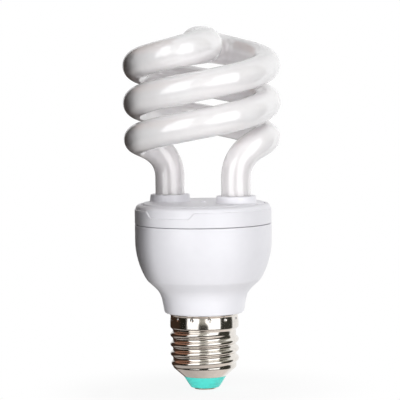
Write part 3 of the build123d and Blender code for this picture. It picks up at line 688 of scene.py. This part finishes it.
def cover_shell(sizes):
    """Cover's plate, lip, side and deck, spun round the axis.

    Above a line that drops at each grip, the side is set in by the depth of the step.
    """
    body_r = COVER_HIGH[0]
    inner_r = body_r - sizes.wall
    lip_r = inner_r - LIP_WALL
    plate_z = sizes.deck_z - PLATE
    deck_r = sizes.deck_d / 2
    groove_r = (deck_r + body_r - sizes.step - sizes.edge_round) / 2
    seam_z = BODY_HIGH[2]
    open_z = seam_z + sizes.seam
    rise = np.linspace(open_z + 2 * sizes.seam, sizes.edge_z - sizes.edge_round, SIDE_ROWS)
    low = rounded(
        [
            (HUB, plate_z, 0),
            (lip_r, plate_z, 0.3 * MM),
            (lip_r, COVER_LOW[2], 0.3 * MM),
            (inner_r, COVER_LOW[2], 0.3 * MM),
            (inner_r, open_z, 0.1 * MM),
            (body_r, open_z, sizes.seam),
            (body_r, rise[0], 0),
        ],
        8,
    )
    high = rounded(
        [
            (body_r, rise[-1] - sizes.seam, 0),
            (body_r, sizes.edge_z, sizes.edge_round),
            (groove_r + 0.3 * MM, sizes.edge_z, 0.15 * MM),
            (groove_r, sizes.edge_z - 0.7 * MM, 0.15 * MM),
            (deck_r, sizes.deck_z, 0.8 * MM),
            (HUB, sizes.deck_z, 0),
        ],
        16,
    )
    side = np.stack([np.full_like(rise, body_r), rise], axis=-1)
    outline = np.vstack([low[:-1], side, high[2:]])
    radius, height = outline[:, :1], outline[:, 1:]

    grip = np.arcsin(sizes.grip_width / 2 / body_r)
    reach = GRIP_REACH * grip
    near = np.linspace(-reach, reach, GRIP_COLUMNS)
    far = np.linspace(reach, np.pi - reach, PLAIN_COLUMNS)[1:-1]
    around = sizes.grip_angle + np.concatenate([near, far, near + np.pi, far + np.pi])
    away = np.abs(np.angle(np.exp(2j * (around - sizes.grip_angle)))) / 2
    lower = ease((GRIP_START * grip - away) / (GRIP_SLANT * grip))
    line = sizes.step_z + (sizes.grip_z - sizes.step_z) * lower
    above = ease((height - line) / STEP_SLOPE + 0.5)
    outer = ease((radius - groove_r) / (0.6 * MM))
    inward = sizes.step * above * outer * (height > seam_z)
    return skin(turned(radius - inward, height, around), poles=True)


def leg_collars(sizes, tube):
    """Two collars round the legs, each a spun ring with a fillet at its foot."""
    collar_r, bore = sizes.collar_d / 2, tube.tube_d / 2 + LEG_CLEARANCE
    foot_r = collar_r + COLLAR_FOOT
    top = sizes.deck_z + sizes.collar_height
    outline = rounded(
        [
            (bore, sizes.deck_z - COLLAR_SUNK, 0),
            (bore, top, 0.25 * MM),
            (collar_r, top, 0.45 * MM),
            (collar_r + COLLAR_DRAFT, sizes.deck_z + 0.02 * MM, 0.6 * MM),
            (foot_r, sizes.deck_z - 0.08 * MM, 0.2 * MM),
            (foot_r, sizes.deck_z - COLLAR_SUNK, 0),
        ]
    )
    ring = spun(outline, circle(COLLAR_COLUMNS))
    way = np.array([np.cos(tube.leg_angle), np.sin(tube.leg_angle), 0])
    leg = tube.leg_spacing / 2 * way
    return [skin(ring + leg, loop=True), skin(ring - leg, loop=True)]


def gate_mark(sizes):
    """Small spun button where the mould was filled, in the middle of the deck."""
    low, top = sizes.deck_z - GATE_SUNK, sizes.deck_z + GATE_HEIGHT
    outline = rounded(
        [
            (NEAR_AXIS, low, 0),
            (GATE_R, low, 0.05 * MM),
            (GATE_R, sizes.deck_z + 0.1 * MM, 0.2 * MM),
            (GATE_TOP_R, top, 0.2 * MM),
            (NEAR_AXIS, top, 0),
        ]
    )
    return skin(spun(outline, circle(GATE_COLUMNS)), poles=True)


class LAMP_OT_cover(bpy.types.Operator):
    """Make the cover with its finger grips and the legs' collars"""

    bl_idname = "lamp.cover"
    bl_label = "Cover"

    def execute(self, context):
        """Put the spun cover, the two collars and the gate's mark together in one piece."""
        sizes = context.scene.lamp_plastic
        collars = leg_collars(sizes, context.scene.lamp_tube)
        skins = [cover_shell(sizes), *collars, gate_mark(sizes)]
        material = white_plastic(context)
        piece("cover_with_collars", skins, material, "white_plastic", "top_cover")
        return {"FINISHED"}


CAP_ROWS, CAP_COLUMNS = 211, 300
INNER_STEP = 3  # rows of the cap's outside to each row of its inside
THREAD_MARGIN = 0.4  # of the thread over the cone, and half of it under the skirt, in pitches
FADE_START, FADE = 0.12, 0.3  # fading of the thread's ends, in turns
PUNCH_EDGE = 1.15  # reach of a punch mark, in its radii
PUNCH_DEPTH = 0.3 * MM


def cap_outline(sizes):
    """Outside of the cap from its mouth to its rim, in rows that lie evenly along it."""
    crest, root = sizes.crest_d / 2, sizes.crest_d / 2 - sizes.depth
    rim_r, rim_z = CAP_HIGH[0] - 0.05 * MM, CAP_HIGH[2]
    rim_top = rim_z - 0.02 * MM
    outline = rounded(
        [
            (sizes.mouth_d / 2, CAP_LOW[2], 0),
            (root, sizes.cone_top, 0.7 * MM),
            (root, sizes.skirt_z - sizes.depth, 0.5 * MM),
            (crest, sizes.skirt_z, 0.6 * MM),
            (crest, sizes.skirt_z + 2.2 * MM, 18 * MM),
            (crest - 0.25 * MM, rim_z - 0.95 * MM, 0.25 * MM),
            (rim_r, rim_z - 0.4 * MM, 0.12 * MM),
            (rim_r, rim_top, 0.12 * MM),
            (CAP_HIGH[0] - 0.6 * MM, rim_top, 0),
        ],
        7,
    )
    run = np.concatenate([[0], np.cumsum(np.hypot(*np.diff(outline, axis=0).T))])
    even = np.linspace(0, run[-1], CAP_ROWS)
    return np.stack([np.interp(even, run, column) for column in outline.T], axis=-1)


def thread_push(sizes, height, around):
    """Share of the thread's depth by which each point of the cap is pushed out.

    The height over the pitch less the angle over a turn gives the place in the thread. A circle's
    arc rounds the crest over half of the pitch, and a like arc the root. The push fades in and out
    at the thread's two ends.
    """
    margin = THREAD_MARGIN * sizes.pitch
    thread_z = sizes.cone_top + margin
    turns = (sizes.skirt_z - sizes.depth - margin / 2 - thread_z) / sizes.pitch
    share = np.mod(around - sizes.thread_angle, TURN) / TURN
    phase = (height - thread_z) / sizes.pitch - share
    turn = share + np.round(phase)
    quarter = sizes.pitch / 4
    bend = (quarter**2 + sizes.depth**2 / 4) / sizes.depth
    off = np.abs(phase - np.round(phase)) * sizes.pitch
    fall = (bend - np.sqrt(bend**2 - np.minimum(off, 2 * quarter - off) ** 2)) / sizes.depth
    push = np.where(off < quarter, 1 - fall, fall)
    return push * ease((turn + FADE_START) / FADE) * ease((turns + FADE_START - turn) / FADE)


def punch_dents(sizes, height, around):
    """Share of the punch marks' depth at each point: even round dents in a row below the rim."""
    step = TURN / sizes.punch_count
    across = np.mod(around - sizes.punch_angle + step / 2, step) - step / 2
    up = height - (CAP_HIGH[2] - sizes.punch_drop)
    return ease(PUNCH_EDGE - np.hypot(across * sizes.crest_d / 2, up) / (sizes.punch_d / 2))


class LAMP_OT_screw_cap(bpy.types.Operator):
    """Make the rolled screw cap"""

    bl_idname = "lamp.screw_cap"
    bl_label = "Screw Cap"

    def execute(self, context):
        """Spin the cap's outline, push the thread out and the punch marks in, and line it inside.

        The inside is the outside moved in by the sheet's thickness.
        """
        sizes = context.scene.lamp_cap
        outline = cap_outline(sizes)
        radius, height = outline[:, :1], outline[:, 1:]
        around = circle(CAP_COLUMNS)
        out = radius + sizes.depth * thread_push(sizes, height, around)
        out = np.minimum(out, np.maximum(sizes.crest_d / 2, radius))
        out = out - PUNCH_DEPTH * punch_dents(sizes, height, around)
        inner = np.maximum(out, sizes.mouth_d / 2) - sizes.sheet
        lift = height + np.where(height < sizes.cone_top, sizes.sheet / 2, 0)
        inside = turned(inner, lift, around)[::-INNER_STEP]
        sheet = skin(np.vstack([turned(out, height, around), inside]), loop=True)
        nickel = tuple(sizes.nickel)
        material = finish_of(
            "Bright Nickel",
            nickel,
            shaded(nickel, 0.1),
            scale=90,
            smooth=0.1,
            rough=0.15,
            grain=420,
            depth=0.012 * MM,
            Metallic=1.0,
        )
        piece("rolled_cap", [sheet], material, "nickel", "screw_shell")
        return {"FINISHED"}


PLUG_COLUMNS = 128
HOLE_R = 1.6 * MM  # rivet's hole in the insulator
TIP_R = 5.4 * MM  # insulator's lower face
CONTACT_R = 4.2 * MM
RIVET_FOOT_R, RIVET_TOP_R, RIVET_HEIGHT = 2.56 * MM, 1.92 * MM, 0.6 * MM  # closed upper end


class LAMP_OT_insulator(bpy.types.Operator):
    """Make the cap's insulator and the centre contact"""

    bl_idname = "lamp.insulator"
    bl_label = "Insulator and Contact"

    def execute(self, context):
        """Spin the plug's outline round the rivet's hole, and the rivet's own outline."""
        tip_z, plug_z = PLUG_LOW[2], PLUG_HIGH[2]
        mouth, mouth_z = context.scene.lamp_cap.mouth_d / 2, CAP_LOW[2]
        plug = rounded(
            [
                (HOLE_R, plug_z, 0),
                (HOLE_R, tip_z, 0.1 * MM),
                (TIP_R, tip_z, 0.9 * MM),
                (mouth, mouth_z, 0.2 * MM),
                (mouth - 0.25 * MM, mouth_z + 0.35 * MM, 0.1 * MM),
                (PLUG_HIGH[0], plug_z, 0.2 * MM),
                (HOLE_R, plug_z, 0),
            ]
        )[:-1]
        rivet = rounded(
            [
                (NEAR_AXIS, 0, 0),
                (CONTACT_R, 0, 0.35 * MM),
                (CONTACT_R, tip_z, 0.1 * MM),
                (HOLE_R, tip_z, 0.05 * MM),
                (HOLE_R, plug_z, 0.05 * MM),
                (RIVET_FOOT_R, plug_z, 0.1 * MM),
                (RIVET_TOP_R, plug_z + RIVET_HEIGHT, 0.2 * MM),
                (NEAR_AXIS, plug_z + RIVET_HEIGHT, 0),
            ]
        )
        turquoise = tuple(context.scene.lamp_plastic.turquoise)
        plastic = finish_of(
            "Turquoise Plastic",
            turquoise,
            shaded(turquoise, 0.04),
            scale=120,
            smooth=0.32,
            rough=0.42,
            grain=1800,
            depth=0.006 * MM,
        )
        brass = finish_of(
            "Tinned Brass",
            (0.72, 0.66, 0.52),
            (0.6, 0.53, 0.38),
            scale=200,
            smooth=0.22,
            rough=0.38,
            grain=2500,
            depth=0.008 * MM,
            Metallic=1.0,
        )
        around = circle(PLUG_COLUMNS)
        plug = skin(spun(plug, around), loop=True)
        piece("turquoise_plug", [plug], plastic, "turquoise_plastic", "cap_insulator")
        rivet = skin(spun(rivet, around), poles=True)
        piece("contact_rivet", [rivet], brass, "brass", "centre_contact")
        return {"FINISHED"}


METAL = {"Metallic": 1.0}
# Finish of each slot of the ballast: colour, share by which its clouds are darker, scale of the
# clouds, ends of the roughness, depth of the bump in millimetres, and the shader's other values
BALLAST_FINISHES = {
    "cement": ((0.8, 0.79, 0.74), 0.12, 200, 0.75, 0.9, 0.05, {}),
    "board": ((0.6, 0.46, 0.24), 0.15, 150, 0.5, 0.65, 0.01, {}),
    "solder": ((0.62, 0.63, 0.65), 0.2, 500, 0.25, 0.45, 0.02, METAL),
    "tinned_steel": ((0.7, 0.7, 0.71), 0.12, 400, 0.2, 0.35, 0.005, METAL),
    "black_plastic": ((0.022, 0.022, 0.025), 0.3, 250, 0.35, 0.5, 0.01, {}),
    "resistor_coat": ((0.42, 0.6, 0.66), 0.15, 400, 0.3, 0.45, 0.01, {}),
    "blue_glass": ((0.05, 0.14, 0.42), 0.2, 400, 0.08, 0.16, 0.003, {"Coat_Weight": 0.5}),
    "can_sleeve": ((0.02, 0.022, 0.05), 0.25, 150, 0.22, 0.32, 0.005, {"Coat_Weight": 0.3}),
    "film_dip": ((0.38, 0.06, 0.03), 0.2, 180, 0.15, 0.28, 0.02, {"Coat_Weight": 0.4}),
    "disc_dip": ((0.07, 0.17, 0.45), 0.2, 220, 0.18, 0.3, 0.02, {"Coat_Weight": 0.3}),
    "ferrite": ((0.035, 0.035, 0.038), 0.35, 300, 0.55, 0.75, 0.02, {}),
    "copper": ((0.6, 0.24, 0.09), 0.25, 350, 0.22, 0.35, 0.01, METAL),
    "tape": ((0.7, 0.55, 0.08), 0.1, 180, 0.25, 0.35, 0.008, {"Coat_Weight": 0.3}),
    "red_wire": ((0.42, 0.02, 0.015), 0.15, 250, 0.4, 0.5, 0.008, {}),
    "black_wire": ((0.02, 0.02, 0.022), 0.25, 250, 0.4, 0.5, 0.008, {}),
}
BALLAST_GRAIN = 12  # scale of the bump over the scale of the clouds


class LAMP_OT_ballast(bpy.types.Operator):
    """Finish the pieces on the circuit board and under the cover"""

    bl_idname = "lamp.ballast"
    bl_label = "Ballast"

    def execute(self, context):
        """Give each solid of the ballast the clouded finish of its slot."""
        for part in frame["record"]["subparts"]:
            slot = part["material_slot"]
            if slot not in BALLAST_FINISHES:
                continue
            base, shade, scale, smooth, rough, depth, values = BALLAST_FINISHES[slot]
            material = finish_of(
                slot.replace("_", " ").title(),
                base,
                shaded(base, shade),
                scale,
                smooth,
                rough,
                BALLAST_GRAIN * scale,
                depth * MM,
                **values,
            )
            mesh = frame["nodes"][part["node"]].data
            mesh.materials.clear()
            mesh.materials.append(material)
        return {"FINISHED"}


# Table's radius, radius of the hole in its middle, and its distance below the lamp
FLOOR_REACH, FLOOR_HUB, FLOOR_DROP = 75 * MM, 0.5 * MM, 0.2 * MM
FLOOR_ROWS, FLOOR_COLUMNS = 9, 65
WALL_RADIUS, WALL_Z = 1.5, 0.06
WALL_ROWS, WALL_COLUMNS = 241, 111
WALL_FOOT, WALL_TOP = -90, 76  # lifts of the studio wall's lower and upper edges in degrees
# Edges of the wall's sectors, as bearings in degrees from the front
LEFT_EDGE, RIGHT_EDGE, REAR_EDGE = -43, 33, 108
# Colours of the sectors low down, and what is added higher up
LEFT_LOW, LEFT_HIGH = np.array((0.018, 0.017, 0.012)), np.array((0.28, 0.14, 0.095))
MIDDLE_LOW, MIDDLE_HIGH = np.array((0.05, 0.048, 0.043)), np.array((0.42, 0.41, 0.37))
RIGHT_LOW, RIGHT_HIGH = np.array((0.045, 0.044, 0.036)), np.array((0.3, 0.29, 0.25))
REAR_WHITE, PANEL_WHITE = np.ones(3), 0.9
BROWN, GROUND = np.array((0.026, 0.009, 0.005)), np.array((0.88, 0.81, 0.77))
# Each light's bearing in degrees, its height and distance, and its own width and height
LIGHTS = {
    "key": (-30, 0.12, 1.4, 0.7, 0.7),
    "rear": (135, 0.25, 1.2, 1.0, 1.2),
    "back": (-158, 0.2, 1.2, 0.8, 0.8),
    "low": (35, -0.2, 1.0, 0.7, 0.5),
    "high": (22, 0.62, 0.9, 0.5, 0.5),
}
LIGHTS_AIM = Vector((0, 0, 0.075))
ROOM_SIDE = (0.78, 0.45, 0.44)  # direction in which the room is brightest for soft light
ROOM_DIM = 0.09  # share of the fill that is left on the other side
SENSOR, PICTURE, SCALE = 36, 400, 2622  # millimetres, pixels, and pixels to a metre at the lamp
CAMERA_PIVOT, CAMERA_AIM = Vector((0, 0, 0.072)), Vector((-0.00111, 0, 0.0724))
CAMERA_NEAR, CAMERA_FAR = 0.05, 20


def stage_sheet(name, grid, material, tint=None):
    """Open sheet of the stage from a grid of points, with a colour at each point if given."""
    rows, columns = grid.shape[:2]
    index = np.arange(rows * columns).reshape(rows, columns)
    corners = [index[:-1, :-1], index[:-1, 1:], index[1:, 1:], index[1:, :-1]]
    faces = np.stack(corners, axis=-1).reshape(-1, 4)
    mesh = bpy.data.meshes.new(name)
    mesh.from_pydata(grid.reshape(-1, 3).tolist(), [], faces.tolist())
    mesh.polygons.foreach_set("use_smooth", np.ones(len(faces), bool))
    mesh.materials.append(material)
    if tint is not None:
        colours = np.concatenate([tint, np.ones_like(tint[..., :1])], axis=-1)
        layer = mesh.color_attributes.new("tint", "FLOAT_COLOR", "POINT")
        layer.data.foreach_set("color", colours.astype(np.float32).ravel())
    made = bpy.data.objects.new(name, mesh)
    bpy.context.scene.collection.objects.link(made)
    return made


def bare_material(name):
    """New material whose tree holds only its output, with the tree and that output."""
    material = bpy.data.materials.new(name)
    material.use_nodes = True
    tree = material.node_tree
    tree.nodes.clear()
    return material, tree, tree.nodes.new("ShaderNodeOutputMaterial")


def floor_finish():
    """Pale table top that takes the lamp's shadow and fades into the room towards its edge."""
    material, tree, out = bare_material("Pale Table")
    paint = add_node(tree, "ShaderNodeBsdfDiffuse", Color=(0.86, 0.86, 0.86, 1))
    glow = add_node(tree, "ShaderNodeEmission", Color=(1, 1, 1, 1), Strength=1.0)
    mix = tree.nodes.new("ShaderNodeMixShader")
    rays = tree.nodes.new("ShaderNodeLightPath")
    place = tree.nodes.new("ShaderNodeTexCoord")
    away = add_node(tree, "ShaderNodeVectorMath", operation="LENGTH")
    fade = add_node(
        tree,
        "ShaderNodeMapRange",
        interpolation_type="SMOOTHSTEP",
        From_Min=0.3 * FLOOR_REACH,
        From_Max=0.95 * FLOOR_REACH,
        To_Min=0.9,
        To_Max=1.0,
    )
    share = add_node(tree, "ShaderNodeMath", operation="MULTIPLY")
    join(
        tree,
        (place, "Object", away, 0),
        (away, "Value", fade, "Value"),
        (fade, "Result", share, 0),
        (rays, "Is Camera Ray", share, 1),
        (share, 0, mix, 0),
        (paint, 0, mix, 1),
        (glow, 0, mix, 2),
        (mix, 0, out, "Surface"),
    )
    return material


def table_top():
    """Small round table under the lamp: rings about the axis."""
    around = np.linspace(0, TURN, FLOOR_COLUMNS)
    away = np.linspace(FLOOR_HUB, FLOOR_REACH, FLOOR_ROWS)[:, None]
    grid = turned(away, CAD_BOX[0][2] - FLOOR_DROP, around)
    floor = stage_sheet("floor", grid, floor_finish())
    floor.visible_glossy = False


def wall_finish():
    """Dim studio wall that shows the colours stored on its mesh."""
    material, tree, out = bare_material("Dim Wall")
    material.cycles.emission_sampling = "NONE"
    glow = add_node(tree, "ShaderNodeEmission", Strength=1.0)
    tint = add_node(tree, "ShaderNodeAttribute", attribute_name="tint")
    join(tree, (tint, "Color", glow, "Color"), (glow, 0, out, "Surface"))
    return material


def rising(value, start, soft):
    """Mask that grows smoothly from 0 to 1 over a width after a start."""
    return ease((value - start) / soft)[..., None]


def band(value, start, end, soft):
    """Mask that is 1 between two edges, each softened over a width."""
    return rising(value, start - soft / 2, soft) * rising(-value, -end - soft / 2, soft)


def studio_tint(bearing, lift, softbox):
    """Colours of the studio's wall, as gloss and metal mirror them, by bearing and lift in degrees.

    Four sectors have walls of their own, most of which grow lighter upwards. A pale panel stands at
    the rear left. Two softboxes in front leave a gap that narrows upwards and opens again, and a
    warm pale ground lies under everything.
    """
    left = LEFT_LOW + rising(-bearing, 84, 16) * BROWN + rising(lift, 14, 14) * LEFT_HIGH
    middle = MIDDLE_LOW + rising(lift, -8, 14) * MIDDLE_HIGH
    right = RIGHT_LOW + rising(lift, 8, 16) * RIGHT_HIGH
    tint = (
        band(bearing, -200, LEFT_EDGE, 4) * left
        + band(bearing, LEFT_EDGE, RIGHT_EDGE, 4) * middle
        + band(bearing, RIGHT_EDGE, REAR_EDGE, 5) * right
        + band(bearing, REAR_EDGE, 200, 5) * REAR_WHITE
    )
    panel = band(bearing, -220, -158, 16) * band(lift, -4, 120, 8)
    tint = tint + panel * (PANEL_WHITE - tint)
    narrow = np.clip((lift + 6.5) / 13, 0, 1) * ease((20 - lift) / 10)
    boxes = band(bearing, -60, -21 + 4 * narrow, 4) + band(bearing, 12.6 - 12 * narrow, 55, 4)
    tint = tint + boxes * band(lift, -12, 52, 4) * (softbox - tint)
    horizon = -31 + 10 * ease((-80 - bearing) / 20)
    sideways = np.sin(np.radians(bearing)) * np.cos(np.radians(lift))
    ground = GROUND * (0.55 + 0.45 * rising(sideways, -0.55, 1.1))
    return tint + rising(horizon - lift, 0, 14) * (ground - tint)


def studio_wall(softbox):
    """Wide dome round the lamp that only gloss and metal see: a sphere by bearing and lift."""
    bearing, lift = np.meshgrid(
        np.linspace(-180, 180, WALL_ROWS),
        np.linspace(WALL_FOOT, WALL_TOP, WALL_COLUMNS),
        indexing="ij",
    )
    turn, tilt = np.radians(bearing), np.radians(lift)
    out = [np.sin(turn) * np.cos(tilt), -np.cos(turn) * np.cos(tilt), np.sin(tilt)]
    grid = WALL_RADIUS * np.stack(out, axis=-1) + (0, 0, WALL_Z)
    wall = stage_sheet("studio_wall", grid, wall_finish(), studio_tint(bearing, lift, softbox))
    wall.visible_camera = False
    wall.visible_diffuse = False


def card_finish():
    """Black card that keeps light off the lamp's left edge."""
    material = bpy.data.materials.new("Dark Card")
    material.use_nodes = True
    shader = material.node_tree.nodes["Principled BSDF"]
    set_values(shader, {"Base_Color": (0.01, 0.01, 0.01, 1), "Roughness": 1.0})
    return material


def dark_card():
    """Upright card close to the lamp's left, which only soft light meets.

    It reaches from just behind the axis to the front, less far beside the tube than below.
    """
    left, rear = -34 * MM, 3 * MM
    heights = np.array((4, 78, 86, 150)) * MM
    front = np.array((-34, -34, -28.3, -28.3)) * MM
    grid = np.stack(
        [
            np.stack(np.broadcast_arrays(left, depth, heights), axis=-1)
            for depth in (front, rear)
        ]
    )
    card = stage_sheet("dark_card", grid, card_finish())
    card.visible_camera = False
    card.visible_glossy = False
    card.visible_transmission = False


def facing(place, aim):
    """Turn that points a light or camera from one place to another, with its top upwards."""
    return (aim - place).to_track_quat("-Z", "Y").to_matrix()


def soft_light(name, bearing, lift, distance, wide, tall, watts):
    """Rectangular light that faces the lamp from a bearing in degrees, a height and a distance."""
    light = bpy.data.lights.new(name, "AREA")
    light.shape = "RECTANGLE"
    light.size = wide
    light.size_y = tall
    light.energy = watts
    turn = np.radians(bearing)
    place = Vector((distance * np.sin(turn), -distance * np.cos(turn), lift))
    made = bpy.data.objects.new(name, light)
    bpy.context.scene.collection.objects.link(made)
    made.matrix_world = Matrix.Translation(place) @ facing(place, LIGHTS_AIM).to_4x4()
    made.visible_glossy = False


def white_room(fill):
    """World that is white where it is seen, also in glass and metal.

    To soft light it is bright at the rear right and above, and dim at the front left: the share of
    each direction that lies along the bright one sets its level.
    """
    world = bpy.data.worlds.new("White Room")
    bpy.context.scene.world = world
    world.use_nodes = True
    tree = world.node_tree
    shade = tree.nodes["Background"]
    shade.inputs["Color"].default_value = (1, 1, 1, 1)
    rays = tree.nodes.new("ShaderNodeLightPath")
    seen = add_node(tree, "ShaderNodeMath", operation="MAXIMUM")
    either = add_node(tree, "ShaderNodeMath", operation="MAXIMUM")
    place = tree.nodes.new("ShaderNodeTexCoord")
    along = add_node(tree, "ShaderNodeVectorMath", operation="DOT_PRODUCT")
    along.inputs[1].default_value = ROOM_SIDE
    dim = add_node(
        tree,
        "ShaderNodeMapRange",
        interpolation_type="SMOOTHSTEP",
        From_Min=0.1,
        From_Max=0.95,
        To_Min=ROOM_DIM * fill,
        To_Max=fill,
    )
    level = add_node(tree, "ShaderNodeMix", data_type="FLOAT", B=1.0)
    join(
        tree,
        (rays, "Is Camera Ray", seen, 0),
        (rays, "Is Glossy Ray", seen, 1),
        (seen, 0, either, 0),
        (rays, "Is Transmission Ray", either, 1),
        (place, "Generated", along, 0),
        (along, "Value", dim, "Value"),
        (either, 0, level, "Factor"),
        (dim, "Result", level, "A"),
        (level, "Result", shade, "Strength"),
    )


def photo_camera(stage):
    """Camera at the photo's viewing angle, whose lens keeps the lamp's size at any distance."""
    scene = bpy.context.scene
    data = bpy.data.cameras.new("camera")
    data.sensor_width = SENSOR
    data.lens = SENSOR * SCALE * stage.distance / PICTURE
    data.clip_start = CAMERA_NEAR
    data.clip_end = CAMERA_FAR
    camera = bpy.data.objects.new("camera", data)
    scene.collection.objects.link(camera)
    scene.camera = camera
    away = Vector((0, -np.cos(stage.elevation), np.sin(stage.elevation)))
    place = CAMERA_PIVOT + away * stage.distance
    tilted = facing(place, CAMERA_AIM) @ Matrix.Rotation(-stage.roll, 3, "Z")
    camera.matrix_world = Matrix.Translation(place) @ tilted.to_4x4()


class LAMP_OT_stage(bpy.types.Operator):
    """Make the table, the studio, the lights and the camera"""

    bl_idname = "lamp.stage"
    bl_label = "Stage"

    def execute(self, context):
        """Stand the lamp on a small pale table in a white room.

        Five lights and the room give its soft light, a dark card shades its left edge, and the
        studio's wall with two softboxes gives what its gloss mirrors.
        """
        stage = context.scene.lamp_stage
        table_top()
        studio_wall(stage.softbox)
        dark_card()
        for name, values in LIGHTS.items():
            soft_light(name, *values, getattr(stage, f"{name}_power"))
        white_room(stage.fill)
        context.scene.view_settings.view_transform = "Standard"
        photo_camera(stage)
        return {"FINISHED"}


MAKERS = (
    LAMP_OT_tube,
    LAMP_OT_housing,
    LAMP_OT_cover,
    LAMP_OT_screw_cap,
    LAMP_OT_insulator,
    LAMP_OT_ballast,
    LAMP_OT_stage,
)
GROUPS = {
    "lamp_tube": LampTubeSettings,
    "lamp_plastic": LampPlasticSettings,
    "lamp_cap": LampCapSettings,
    "lamp_stage": LampStageSettings,
}


class VIEW3D_PT_lamp(bpy.types.Panel):
    """Sidebar list of the lamp's pieces and their settings"""

    bl_label = "Spiral Lamp"
    bl_space_type = "VIEW_3D"
    bl_region_type = "UI"
    bl_category = "Lamp"

    def draw(self, context):
        """Show each settings group and a button for each maker."""
        for group, settings in GROUPS.items():
            box = self.layout.box()
            for name in settings.__annotations__:
                box.prop(getattr(context.scene, group), name)
        for maker in MAKERS:
            self.layout.operator(maker.bl_idname)


CLASSES = (*GROUPS.values(), *MAKERS, VIEW3D_PT_lamp)


def register():
    """Register the classes and hang the settings on the scene."""
    for item in CLASSES:
        bpy.utils.register_class(item)
    for name, settings in GROUPS.items():
        setattr(bpy.types.Scene, name, PointerProperty(type=settings))


def unregister():
    """Take the settings and the classes away again."""
    for name in GROUPS:
        delattr(bpy.types.Scene, name)
    for item in reversed(CLASSES):
        bpy.utils.unregister_class(item)


def main():
    """Make every piece."""
    register()
    bpy.ops.lamp.tube()
    bpy.ops.lamp.housing()
    bpy.ops.lamp.cover()
    bpy.ops.lamp.screw_cap()
    bpy.ops.lamp.insulator()
    bpy.ops.lamp.ballast()
    bpy.ops.lamp.stage()


if __name__ == "__main__":
    main()
